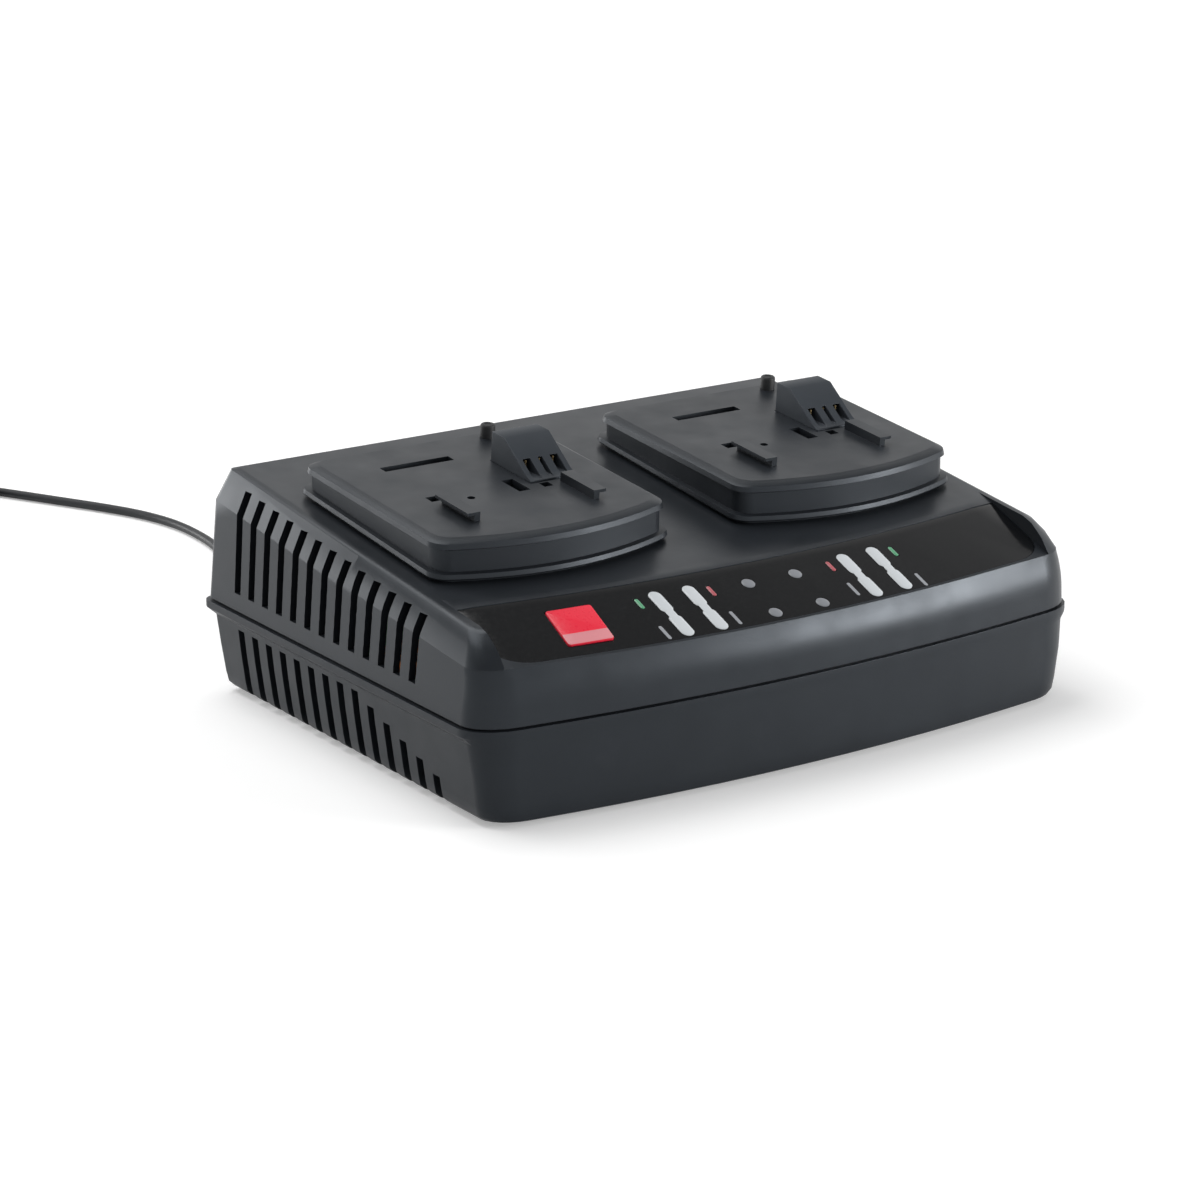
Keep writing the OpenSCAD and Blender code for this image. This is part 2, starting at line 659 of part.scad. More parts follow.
// Keeps the part of the rods between the lamps and the face of the panel
module rod_span() {
  intersection() {
    children();
    translate([0, 0, -panel_sink]) cover_outer();
    panel_frame() translate([-half_w, -20, led_h - led_board_depth]) cube([body_w, 80, 30]);
  }
}
module left_light_windows() {
  color("#f4f8ff") rod_span() side_slots(-1, 0);
}
module right_light_windows() {
  color("#f4f8ff") rod_span() side_slots(1, 0);
}
module status_dots() {
  color("#9a9da2") rod_span() dot_slots(0);
}
module badge_frame() {
  y = -half_d + nose_in + bow_at(badge_x);
  translate([badge_x, y, top_at(y) - nose_drop]) rotate([0, 0, bow_turn(badge_x)])
    rotate([panel_tilt, 0, 0]) translate([0, badge_s, 0]) children();
}
module badge_plate() {
  color("#d8283c") badge_frame() translate([-badge_w / 2, -badge_l / 2, -badge_sink])
    cube([badge_w, badge_l, badge_sink + badge_proud]);
}
module indicator_board() {
  color("#2c6b3c") panel_frame() difference() {
    translate([indicator_x, led_board_s, -led_board_depth - led_board[2]])
      translate([-led_board[0] / 2, -led_board[1] / 2, 0]) cube(led_board);
    for (q = led_post_places)
      translate([q[0] + indicator_x, q[1], -led_board_depth - 5]) cylinder(r = led_screw_r + 0.2, h = 10);
  }
}
module indicator_leds() {
  color("#f2f2e6") {
    for (s = [-1, 1], x = bar_xs, t = window_ts) led(indicator_x + s * x, t, 5, 6);
    for (s = [-1, 1], x = small_xs) led(indicator_x + s * x, small_t, 2, 4);
    for (s = [-1, 1], t = dot_ts) led(indicator_x + s * dot_x, t, 4, 4);
  }
}
module led(x, t, w, l) {
  at_slope(x, t) translate([-w / 2, -l / 2, -led_board_depth]) cube([w, l, led_h]);
}
module panel_screws() {
  color("#b9bcc0") panel_frame() for (q = led_post_places)
    translate([q[0] + indicator_x, q[1], -led_board_depth - led_board[2]]) {
      translate([0, 0, -1.8]) cylinder(r = 2.6, h = 1.8);
      cylinder(r = led_screw_r, h = led_board[2] + 3.5);
    }
}
// Point under the slope, at x, t up it and n out of it, in the case's frame
function under_slope(x, t, n) =
  let (y = -half_d + nose_in)
  [x, y + t * cos(panel_tilt) - n * sin(panel_tilt),
    top_at(y) - nose_drop + t * sin(panel_tilt) + n * cos(panel_tilt)];
module panel_lead() {
  end = under_slope(panel_plug_x, led_board_s, -led_board_depth - led_board[2] - 1.2);
  start = [panel_plug_x, panel_plug[1], board_top + panel_plug[2]];
  color("#8a8d92") tube([start, start + [0, 0, 13],
    [panel_plug_x, end[1] + 4, end[2] - 10], end], 1.1);
}
panel_plug_x = 22;
panel_plug = [24, board_y - board_d / 2 + 8, 7];

// ---- Main board and what stands on it ----
module on_board(x, y) {
  translate([board_x + x, board_y + y, board_top]) children();
}
module main_board() {
  color("#2c6b3c") difference() {
    translate([board_x - board_w / 2, board_y - board_d / 2, board_z]) cube([board_w, board_d, board_t]);
    for (x = board_screw_xs, y = board_screw_ys)
      translate([board_x + x, board_y + y, board_z - through])
        cylinder(r = board_screw_r + 0.2, h = board_t + 2 * through);
  }
}
module board_screws() {
  color("#b9bcc0") for (x = board_screw_xs, y = board_screw_ys) {
    on_board(x, y) cylinder(r = 2.8, h = 2);
    translate([board_x + x, board_y + y, board_z - 7]) cylinder(r = board_screw_r, h = 7 + board_t);
  }
}
// Box that stands on the board, centred on its place
module chip(x, y, w, d, h) {
  on_board(x, y) translate([-w / 2, -d / 2, 0]) cube([w, d, h]);
}
inlet_at = [cord_x - board_x, 63];
inlet_size = [18, 12, 13];
module inlet_terminal() {
  color("#4f8f5a") chip(inlet_at[0], inlet_at[1], inlet_size[0], inlet_size[1], inlet_size[2]);
}
fuse_at = [inlet_at[0] + 26, 65];
fuse_r = 2.6;
fuse_l = 20;
fuse_lift = 6;
module fuse_bar(r, l) {
  on_board(fuse_at[0] - l / 2, fuse_at[1])
    translate([0, 0, fuse_lift]) rotate([0, 90, 0]) cylinder(r = r, h = l);
}
module mains_fuse() {
  color("#cfd6d8") fuse_bar(fuse_r, fuse_l);
}
module fuse_clips() {
  color("#c9a24e") difference() {
    for (s = [-1, 1]) chip(fuse_at[0] + s * 7.5, fuse_at[1], 4, 8, fuse_lift + 1);
    fuse_bar(fuse_r, fuse_l + 4);
  }
}
choke_at = [-82, 38];
module ring_core(x, y, big, small) {
  on_board(x, y) translate([0, 0, small + 1.3]) rotate_extrude() translate([big, 0]) circle(r = small);
}
module ring_winding(x, y, big, small, from, sweep) {
  on_board(x, y) translate([0, 0, small + 1.3]) rotate([0, 0, from]) rotate_extrude(angle = sweep)
    translate([big, 0]) difference() {
      circle(r = small + 1.3);
      circle(r = small);
    }
}
module choke_core() {
  color("#5a5d50") ring_core(choke_at[0], choke_at[1], 9, 3.2);
}
module choke_winding() {
  color("#b06a32") for (a = [20, 200]) ring_winding(choke_at[0], choke_at[1], 9, 3.2, a, 140);
}
module filter_capacitor() {
  color("#d8b640") chip(-54, 43, 26, 10, 18);
}
module bulk_capacitor() {
  color("#2f3540") on_board(-77, 4) {
    cylinder(r = 15, h = 38);
    translate([0, 0, 38]) cylinder(r = 13.6, h = 1.2);
  }
}
sink_h = 34;
module heat_sink(x, y, d, side) {
  on_board(x, y) {
    translate([-1.5, -d / 2, 0]) cube([3, d, sink_h]);
    for (k = [0:5]) translate([side > 0 ? 1.4 : -8.4, -d / 2 + k * (d - 1.6) / 5, 0])
      cube([7, 1.6, sink_h]);
  }
}
// Power device flat against a heat sink, with its three legs in the board
module power_device(x, y, side) {
  on_board(x, y) translate([side > 0 ? -4.5 : 0, -5, 0]) {
    translate([0, 0, 7]) cube([4.5, 10, 15]);
    for (k = [0:2]) translate([1.8, 1.2 + k * 3.4, 0]) cube([0.8, 0.8, 7]);
  }
}
module primary_heat_sink() {
  color("#a9adb2") heat_sink(-51, 8, 46, -1);
}
module power_transistors() {
  color("#2a2a2c") for (y = [-4, 20]) power_device(-49.5, y, -1);
}
transformer_at = [-18, 6];
core_size = [44, 16, 34];
core_leg = 14;
core_yoke = 5;
core_window = 16;
module transformer_core() {
  color("#4a4a4e") on_board(transformer_at[0], transformer_at[1]) difference() {
    translate([-core_size[0] / 2, -core_size[1] / 2, 0]) cube(core_size);
    for (x = [-core_window, core_leg / 2]) translate([x, -core_size[1], core_yoke])
      cube([core_window - core_leg / 2, 2 * core_size[1], core_size[2] - 2 * core_yoke]);
  }
}
module transformer_winding() {
  gap = 0.2;
  h = core_size[2] - 2 * core_yoke - 2 * gap;
  color("#d8c36a") on_board(transformer_at[0], transformer_at[1])
    translate([0, 0, core_yoke + gap]) difference() {
      translate([-core_window + gap, -18, 0]) cube([2 * (core_window - gap), 36, h]);
      translate([-core_leg / 2 - gap, -core_size[1] / 2 - gap, -through])
        cube([core_leg + 2 * gap, core_size[1] + 2 * gap, h + 2 * through]);
    }
}
module output_heat_sink() {
  color("#a9adb2") heat_sink(16, 8, 56, 1);
}
module output_rectifiers() {
  color("#2a2a2c") for (y = [-10, 26]) power_device(14.5, y, 1);
}
module output_capacitors() {
  color("#2f3540") for (k = [0:3]) on_board(38, -18 + 16 * k) cylinder(r = 6.3, h = 26);
}
module output_chokes() {
  for (y = [-8, 28]) {
    color("#5a5d50") ring_core(60, y, 8, 3);
    color("#b06a32") ring_winding(60, y, 8, 3, 30, 300);
  }
}
module port_relays() {
  color("#2f6fb0") for (y = [-8, 28]) chip(82, y, 19, 15.5, 15);
}
module control_chips() {
  color("#26282c") {
    chip(-20, -38, 12, 12, 2);
    chip(6, -42, 18, 8, 2.2);
    chip(-46, -34, 10, 8, 2);
  }
}
fan_plug_at = [88, 54];
fan_plug = [8, 6, 7];
lead_plug = [20, 10, 10];
lead_plug_xs = [-48, 52];
module output_connectors() {
  color("#e4e1d6") for (x = lead_plug_xs) chip(x, -59, lead_plug[0], lead_plug[1], lead_plug[2]);
}
module panel_connector() {
  color("#e4e1d6") translate([panel_plug_x - panel_plug[0] / 2, panel_plug[1] - 3, board_top])
    cube([panel_plug[0], 6, panel_plug[2]]);
}
module fan_connector() {
  color("#e4e1d6") chip(fan_plug_at[0], fan_plug_at[1], fan_plug[0], fan_plug[1], fan_plug[2]);
}
// Two wires from a socket on the board to the outer blades of one dock
module dock_leads(side, plug_x) {
  y = blade_y[0] + 1.25;
  s = sin(dock_angle);
  foot = [board_x + plug_x, board_y - 59, board_top + lead_plug[2]];
  for (k = [0, 2]) {
    x = side * dock_x + blade_us[k];
    tip = [x, y * cos(dock_angle) - blade_z[0] * s, dock_z + y * s + blade_z[0] * cos(dock_angle) - 0.4];
    start = foot + [(k - 1) * 5, 0, 0];
    tube([start, start + [0, 0, 12], [(start[0] + x) / 2, -24, 62], [x, tip[1] - 3, tip[2] - 16], tip],
      1.3);
  }
}
module left_dock_leads() {
  color("#a03028") dock_leads(-1, lead_plug_xs[0]);
}
module right_dock_leads() {
  color("#a03028") dock_leads(1, lead_plug_xs[1]);
}

// ---- Fan ----
module at_fan() {
  translate([fan_x, fan_y, fan_z]) rotate([0, 90, 0]) children();
}
module fan_frame() {
  h = fan_t;
  color("#1d1f22") at_fan() {
    difference() {
      translate([-fan_size / 2, -fan_size / 2, -h / 2]) cube([fan_size, fan_size, h]);
      translate([0, 0, -h]) cylinder(r = fan_bore_r, h = 2 * h);
      for (x = [-1, 1], y = [-1, 1]) translate([x * (fan_size / 2 - 4), y * (fan_size / 2 - 4), -h])
        cylinder(r = 1.7, h = 2 * h);
    }
    difference() {
      union() {
        translate([0, 0, h / 2 - 2]) cylinder(r = hub_r + 0.5, h = 2);
        translate([0, 0, h / 2 - 3]) cylinder(r = 3, h = 3);
        for (a = [0, 120, 240]) rotate([0, 0, a]) translate([8, -1.2, h / 2 - 2])
          cube([fan_bore_r - 7, 2.4, 2]);
      }
      translate([0, 0, -h]) cylinder(r = fan_shaft_r + shaft_gap, h = 2 * h);
    }
  }
}
module fan_rotor() {
  h = fan_t - 5;
  color("#2a2c30") at_fan() {
    translate([0, 0, -fan_t / 2 + 1.5]) {
      cylinder(r = hub_r, h = h);
      intersection() {
        cylinder(r = fan_bore_r - 1, h = h);
        for (a = [0:6]) rotate([0, 0, a * 360 / 7]) translate([hub_r - 1, 0, h / 2]) rotate([38, 0, 0])
          translate([0, -0.6, -8]) cube([fan_bore_r, 1.2, 16]);
      }
      cylinder(r = fan_shaft_r, h = fan_t - 2);
    }
  }
}
module fan_lead() {
  a = [fan_x - 4, fan_y + fan_size / 2, board_top + 5];
  b = [board_x + fan_plug_at[0], board_y + fan_plug_at[1], board_top + fan_plug[2]];
  color("#a03028") tube([a, a + [0, 5, 0], b + [7, -3, 6], b + [0, 0, 5], b], 0.9);
}

// ---- Fasteners, feet and cord ----
module case_screws() {
  color("#b9bcc0") both_sides() for (q = case_screw_places) translate([q[0], q[1], 0]) {
    translate([0, 0, head_z - head_h]) cylinder(r = head_r, h = head_h);
    translate([0, 0, head_z]) cylinder(r = screw_r, h = seam_z + screw_grip - head_z);
  }
}
module rubber_feet() {
  color("#17181a") both_sides() for (q = foot_places)
    translate([q[0], q[1], 0]) cylinder(r = foot_r, h = case_z + foot_sink);
}
module cord_clamp() {
  color("#303338") difference() {
    translate([cord_x - clamp_w / 2, clamp_y - clamp_d / 2, cord_z]) cube([clamp_w, clamp_d, 4]);
    translate([cord_x, clamp_y - clamp_d, cord_z]) rotate([-90, 0, 0])
      cylinder(r = cord_r, h = 2 * clamp_d);
    for (s = [-1, 1]) translate([cord_x + s * 8, clamp_y, cord_z - through])
      cylinder(r = board_screw_r + 0.2, h = 6);
  }
}
module clamp_screws() {
  color("#b9bcc0") for (s = [-1, 1]) translate([cord_x + s * 8, clamp_y, cord_z]) {
    translate([0, 0, 4]) cylinder(r = 2.8, h = 2);
    translate([0, 0, -9]) cylinder(r = board_screw_r, h = 13);
  }
}
module inlet_lead() {
  from = board_y + inlet_at[1] + inlet_size[1] / 2;
  color("#202226") translate([cord_x, from, cord_z]) rotate([-90, 0, 0])
    cylinder(r = cord_r - thread_gap, h = pad_y[0] - 2 - from);
}
module strain_relief() {
  neck = pad_y[1] - pad_y[0];
  color("#1d1f22") translate([cord_x, pad_y[0], cord_z]) rotate([-90, 0, 0]) difference() {
    union() {
      translate([0, 0, -2]) cylinder(r = 6.5, h = 2);
      cylinder(r = relief_bore_r - 0.1, h = neck);
      translate([0, 0, neck]) cylinder(r = 6.5, h = 2);
      rotate_extrude() polygon(concat([[0, neck + 1]], relief_side(neck + 2), [[0, neck + 2 + relief_l]]));
    }
    translate([0, 0, -3]) cylinder(r = cord_r, h = neck + relief_l + 6);
  }
}
// Side of the tapered tail: five ribs with grooves between them
function relief_side(z) = [for (k = [0:5], e = [0, 0.62, 0.66, 0.96])
  let (s = (k + e) / 6) [5.4 - 2.1 * s - (e > 0.63 ? 0.7 : 0), z + s * relief_l]];
module mains_cord() {
  color("#202226") tube(route, cord_r);
}
module cord_coil() {
  color("#202226") translate([coil_at[0], coil_at[1], coil_half]) rotate_extrude() translate([coil_r, 0]) {
    square([2 * coil_half, 2 * coil_half - 4], center = true);
    square([2 * coil_half - 4, 2 * coil_half], center = true);
    for (x = [-1, 1], y = [-1, 1]) translate([x, y] * (coil_half - 2)) circle(r = 2);
  }
}
module cord_tail() {
  color("#202226") tube(tail_route, cord_r);
}
// The plug lies flat, with its pins pointing away from the cord
module at_plug() {
  translate([plug_at[0], plug_at[1], plug_t / 2]) rotate([0, 0, plug_turn]) children();
}
module plug_body() {
  color("#202226") at_plug() difference() {
    union() {
      translate([0, 0, -plug_t / 2]) linear_extrude(plug_t)
        polygon([[6, -6], [16, -plug_w / 2 + 1], [18, -plug_w / 2], [plug_l - 2, -plug_w / 2],
          [plug_l, -plug_w / 2 + 2], [plug_l, plug_w / 2 - 2], [plug_l - 2, plug_w / 2],
          [18, plug_w / 2], [16, plug_w / 2 - 1], [6, 6]]);
      rotate([0, 90, 0]) cylinder(r1 = 3.4, r2 = 5, h = 7);
    }
    for (s = [-1, 1]) at_pin(s) cylinder(r = pin_d / 2, h = 8);
  }
}
module at_pin(s) {
  translate([plug_l - 6, s * pin_gap / 2, 0]) rotate([0, 90, 0]) children();
}
module plug_pins() {
  color("#c8cacd") at_plug() for (s = [-1, 1]) at_pin(s) {
    cylinder(r = pin_d / 2, h = 6 + pin_l - 1.5);
    translate([0, 0, 4.5 + pin_l]) cylinder(r1 = pin_d / 2, r2 = pin_d / 2 - 1, h = 1.5);
  }
}

lower_case();
upper_cover();
left_dock_plate();
right_dock_plate();
left_terminal_block();
right_terminal_block();
left_contact_blades();
right_contact_blades();
rear_stops();
dock_screws();
indicator_panel();
left_light_windows();
right_light_windows();
status_dots();
badge_plate();
indicator_board();
indicator_leds();
panel_screws();
panel_lead();
main_board();
board_screws();
inlet_terminal();
mains_fuse();
fuse_clips();
choke_core();
choke_winding();
filter_capacitor();
bulk_capacitor();
primary_heat_sink();
power_transistors();
transformer_core();
transformer_winding();
output_heat_sink();
output_rectifiers();
output_capacitors();
output_chokes();
port_relays();
control_chips();
output_connectors();
panel_connector();
fan_connector();
left_dock_leads();
right_dock_leads();
fan_frame();
fan_rotor();
fan_lead();
case_screws();
rubber_feet();
cord_clamp();
clamp_screws();
inlet_lead();
strain_relief();
mains_cord();
cord_coil();
cord_tail();
plug_body();
plug_pins();
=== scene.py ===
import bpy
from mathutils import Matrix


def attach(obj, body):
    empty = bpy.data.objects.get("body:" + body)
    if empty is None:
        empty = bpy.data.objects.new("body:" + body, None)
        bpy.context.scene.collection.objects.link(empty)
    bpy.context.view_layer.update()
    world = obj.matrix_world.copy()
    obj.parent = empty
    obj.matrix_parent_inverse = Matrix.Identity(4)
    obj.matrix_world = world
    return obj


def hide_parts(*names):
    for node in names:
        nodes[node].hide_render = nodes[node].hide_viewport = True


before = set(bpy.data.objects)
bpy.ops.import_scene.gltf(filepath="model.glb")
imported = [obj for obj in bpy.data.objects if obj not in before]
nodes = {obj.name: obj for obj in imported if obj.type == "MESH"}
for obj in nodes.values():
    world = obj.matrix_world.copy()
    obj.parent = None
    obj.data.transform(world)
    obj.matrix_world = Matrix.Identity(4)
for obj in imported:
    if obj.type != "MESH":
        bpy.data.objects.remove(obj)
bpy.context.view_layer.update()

import math

import bmesh
import bpy
from mathutils import Matrix, Vector

MM = 0.001

# ---- Camera -------------------------------------------------------------
camera = bpy.data.objects.new("camera", bpy.data.cameras.new("camera"))
bpy.context.scene.collection.objects.link(camera)
camera.data.sensor_width = 36
camera.data.lens = 114.107
camera.data.clip_end = 50
camera.location = (-0.8201, -1.17325, 0.4885)
look_at = Vector((-0.02542, -0.00444, 0.045))
camera.rotation_euler = (look_at - camera.location).to_track_quat("-Z", "Y").to_euler()
bpy.context.scene.camera = camera

# ---- Sizes of the case that the loose pieces are placed by, in millimetres ----
HALF_W, HALF_D = 141, 106.75
BOW = 11.5                          # how far the middle of the front stands before its ends
CURVE = BOW / HALF_W ** 2
TOP_Z, TOP_RISE = 80.8, 0.1165      # height of the deck at y = 0, and its rise towards the rear
DOCK_Z, DOCK_RISE, DOCK_X = 96.1, 0.09, 68.7
NOSE_IN, NOSE_DROP = 4.5, 9.8       # where the slope starts, behind the front and below the deck
SLOPE_RUN = 35
SLOPE_Y = -HALF_D + NOSE_IN
TILT = math.atan((NOSE_DROP + TOP_RISE * SLOPE_RUN) / SLOPE_RUN)
ROW_X = 2                           # middle of the row of lights


def top_at(y):
    """Height of the deck."""
    return TOP_Z + TOP_RISE * y


def on_slope(x, t, n, turned=False):
    """Frame on the bowed slope, in metres: X along it, Y up it, Z out of it. Turned, it follows the bow."""
    y = SLOPE_Y + CURVE * x * x
    turn = math.atan(2 * CURVE * x) if turned else 0
    return (Matrix.Translation(Vector((x, y, top_at(y) - NOSE_DROP)) * MM)
            @ Matrix.Rotation(turn, 4, "Z")
            @ Matrix.Rotation(TILT, 4, "X")
            @ Matrix.Translation(Vector((0, t, n)) * MM))


def on_dock(side, u, v):
    """Frame that stands on the top of a dock, at u across it and v along it."""
    return (Matrix.Translation(Vector((side * DOCK_X + u, v, DOCK_Z + DOCK_RISE * v)) * MM)
            @ Matrix.Rotation(math.atan(DOCK_RISE), 4, "X"))


# ---- Making pieces ------------------------------------------------------
def piece(name, bm, finish, angle=32):
    """Mesh piece with its place in its mesh, smooth where it turns less than angle degrees."""
    mesh = bpy.data.meshes.new(name)
    bm.to_mesh(mesh)
    bm.free()
    mesh.shade_smooth()
    mesh.set_sharp_from_angle(angle=math.radians(angle))
    for one in (finish if isinstance(finish, (list, tuple)) else [finish]):
        mesh.materials.append(one)
    obj = bpy.data.objects.new(name, mesh)
    bpy.context.scene.collection.objects.link(obj)
    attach(obj, "housing")
    return obj


def merged_copy(solid):
    """The solid's own form, as clean flat faces."""
    same_place, same_plane = 3e-6, math.radians(0.4)
    bm = bmesh.new()
    bm.from_mesh(nodes[solid].data)
    bmesh.ops.remove_doubles(bm, verts=bm.verts, dist=same_place)
    bmesh.ops.dissolve_degenerate(bm, edges=bm.edges, dist=same_place)
    bmesh.ops.dissolve_limit(bm, angle_limit=same_plane, verts=bm.verts, edges=bm.edges,
                             use_dissolve_boundaries=False)
    bmesh.ops.recalc_face_normals(bm, faces=bm.faces)
    return bm


def softened(bm, width, segments, angle):
    """Rounds the sharp edges; the rounded strips take the second finish, a paler edge that is partly rubbed
    wear and partly a painted highlight.
    """
    sharp = [e for e in bm.edges if len(e.link_faces) == 2 and e.calc_face_angle(0) > math.radians(angle)]
    made = bmesh.ops.bevel(bm, geom=sharp, offset=width * MM, offset_type="OFFSET", segments=segments,
                           profile=0.5, affect="EDGES", clamp_overlap=True, material=-1)
    for face in made["faces"]:
        face.material_index = 1
    return bm


def evened(obj):
    """Flat faces shade flat beside their rounded edges."""
    even = obj.modifiers.new("even_normals", "WEIGHTED_NORMAL")
    even.keep_sharp = True
    even.weight = 50
    return obj


def rounded(bm, edges, width, segments):
    """Rounds the given edges of a new form, its width in millimetres."""
    bmesh.ops.bevel(bm, geom=edges, offset=width * MM, segments=segments, profile=0.5, affect="EDGES",
                    material=-1)


def corner_points(geometry):
    """The points among what an operator made."""
    return [g for g in geometry if isinstance(g, bmesh.types.BMVert)]


def lathe(profile, steps):
    """Closed turned form about Z from (radius, height) pairs in millimetres."""
    bm = bmesh.new()
    points = [bm.verts.new((r * MM, 0, z * MM)) for r, z in profile]
    edges = [bm.edges.new(pair) for pair in zip(points, points[1:])]
    bmesh.ops.spin(bm, geom=points + edges, cent=(0, 0, 0), axis=(0, 0, 1), angle=2 * math.pi,
                   steps=steps, use_merge=True)
    bmesh.ops.remove_doubles(bm, verts=bm.verts, dist=1e-6)
    bmesh.ops.recalc_face_normals(bm, faces=bm.faces)
    return bm


def block(size, bevel=0.0):
    """Rounded block centred on its base, sizes in millimetres."""
    bm = bmesh.new()
    bmesh.ops.create_cube(bm, size=1)
    bmesh.ops.scale(bm, vec=Vector(size) * MM, verts=bm.verts)
    bmesh.ops.translate(bm, vec=(0, 0, size[2] * MM / 2), verts=bm.verts)
    if bevel:
        rounded(bm, bm.edges[:], bevel, 2)
    return bm


def placed(bm, *frames):
    """One bmesh that holds the form at each of the given frames."""
    source = bpy.data.meshes.new("form")
    bm.to_mesh(source)
    bm.free()
    out = bmesh.new()
    for frame_at in frames:
        before = len(out.verts)
        out.from_mesh(source)
        out.verts.ensure_lookup_table()
        bmesh.ops.transform(out, matrix=frame_at, verts=out.verts[before:])
    bpy.data.meshes.remove(source)
    return out


def together(*forms):
    """One bmesh from several."""
    out = bmesh.new()
    for bm in forms:
        source = bpy.data.meshes.new("form")
        bm.to_mesh(source)
        bm.free()
        out.from_mesh(source)
        bpy.data.meshes.remove(source)
    return out


def lens(width, length, proud, depth=1.6, soft=0.35):
    """Rounded light window with a slightly crowned face, its length along Y."""
    bm = bmesh.new()
    bmesh.ops.create_circle(bm, cap_ends=True, segments=32, radius=width * MM / 2)
    half = (length - width) * MM / 2
    for sign in (-1, 1):
        moved = [v for v in bm.verts if v.co.y * sign > 1e-7]
        bmesh.ops.translate(bm, vec=(0, sign * half, 0), verts=moved)
    rim = bmesh.ops.extrude_face_region(bm, geom=bm.faces[:])["geom"]
    bmesh.ops.translate(bm, vec=(0, 0, depth * MM), verts=corner_points(rim))
    bmesh.ops.recalc_face_normals(bm, faces=bm.faces)
    top = [f for f in bm.faces if f.normal.z > 0.9]
    for inwards, upwards in ((1, 0.5), (1.6, 0.35), (1.6, 0.15)):
        bmesh.ops.inset_region(bm, faces=top, thickness=soft * inwards * MM, depth=upwards * proud * MM)
    bmesh.ops.translate(bm, vec=(0, 0, -depth * MM), verts=bm.verts)
    return bm


# ---- Finishes -----------------------------------------------------------
def srgb(r, g, b):
    """A colour as it is seen, 0 to 255, as the shader's linear value."""
    return tuple(c / 255 / 12.92 if c <= 10 else ((c / 255 + 0.055) / 1.055) ** 2.4 for c in (r, g, b)) + (1,)


def node(tree, kind, **values):
    """New node; a value goes to the socket of its name, or else to the node's own setting."""
    made = tree.nodes.new(kind)
    for key, value in values.items():
        if key in made.inputs:
            made.inputs[key].default_value = value
        else:
            setattr(made, key, value)
    return made


def link(tree, a, a_out, b, b_in):
    """Joins an output to an input, each by its name or its number."""
    tree.links.new(a.outputs[a_out], b.inputs[b_in])


def finish_of(name, colour, rough, metallic=0.0, specular=0.5, coat=0.0, coat_rough=0.1):
    """A bare material: its tree, its shader and the Object coordinates that patterns read."""
    material = bpy.data.materials.new(name)
    material.use_nodes = True
    tree = material.node_tree
    shader = tree.nodes["Principled BSDF"]
    shader.inputs["Base Color"].default_value = colour
    shader.inputs["Roughness"].default_value = rough
    shader.inputs["Metallic"].default_value = metallic
    shader.inputs["Specular IOR Level"].default_value = specular
    shader.inputs["Coat Weight"].default_value = coat
    shader.inputs["Coat Roughness"].default_value = coat_rough
    where = tree.nodes.new("ShaderNodeTexCoord")
    return material, tree, shader, where


def shaded(colour, times, plus=0.0):
    """The colour made darker or paler, and still a colour."""
    return tuple(min(1, c * times + plus) for c in colour[:3]) + (1,)


def ramp_of(tree, low, high, first, second):
    """Two colours with a soft step between them."""
    ramp = node(tree, "ShaderNodeValToRGB")
    for stop, place, colour in zip(ramp.color_ramp.elements, (low, high), (first, second)):
        stop.position = place
        stop.color = colour
    return ramp


def span_of(tree, low, high, least, most, kind="LINEAR"):
    """Turns low to high into least to most."""
    span = node(tree, "ShaderNodeMapRange", interpolation_type=kind)
    for socket, value in zip(("From Min", "From Max", "To Min", "To Max"), (low, high, least, most)):
        span.inputs[socket].default_value = value
    return span


def relief_of(tree, shader, source, out, strength, depth):
    """Relief of the surface from a pattern, its depth in millimetres."""
    bump = node(tree, "ShaderNodeBump", Strength=strength, Distance=depth * MM)
    link(tree, source, out, bump, "Height")
    link(tree, bump, "Normal", shader, "Normal")


def tone(tree, shader, where, colour, spread, scale):
    """Slow change of shade over the surface."""
    cloud = node(tree, "ShaderNodeTexNoise", Scale=scale, Detail=2.0)
    ramp = ramp_of(tree, 0.2, 0.8, shaded(colour, 1 - spread), shaded(colour, 1 + spread))
    link(tree, where, "Object", cloud, "Vector")
    link(tree, cloud, "Fac", ramp, "Fac")
    link(tree, ramp, "Color", shader, "Base Color")
    return ramp


def sheen_map(tree, shader, where, rough, spread, scale):
    """Roughness that wanders between two values."""
    cloud = node(tree, "ShaderNodeTexNoise", Scale=scale, Detail=2.0, Roughness=0.5)
    span = span_of(tree, 0.2, 0.8, max(0.02, rough - spread), min(1, rough + spread))
    link(tree, where, "Object", cloud, "Vector")
    link(tree, cloud, "Fac", span, "Value")
    link(tree, span, "Result", shader, "Roughness")


def grain(tree, shader, where, scale, depth, strength):
    """Fine relief of the surface, its depth in millimetres."""
    pits = node(tree, "ShaderNodeTexNoise", Scale=scale, Detail=2.0)
    link(tree, where, "Object", pits, "Vector")
    relief_of(tree, shader, pits, "Fac", strength, depth)


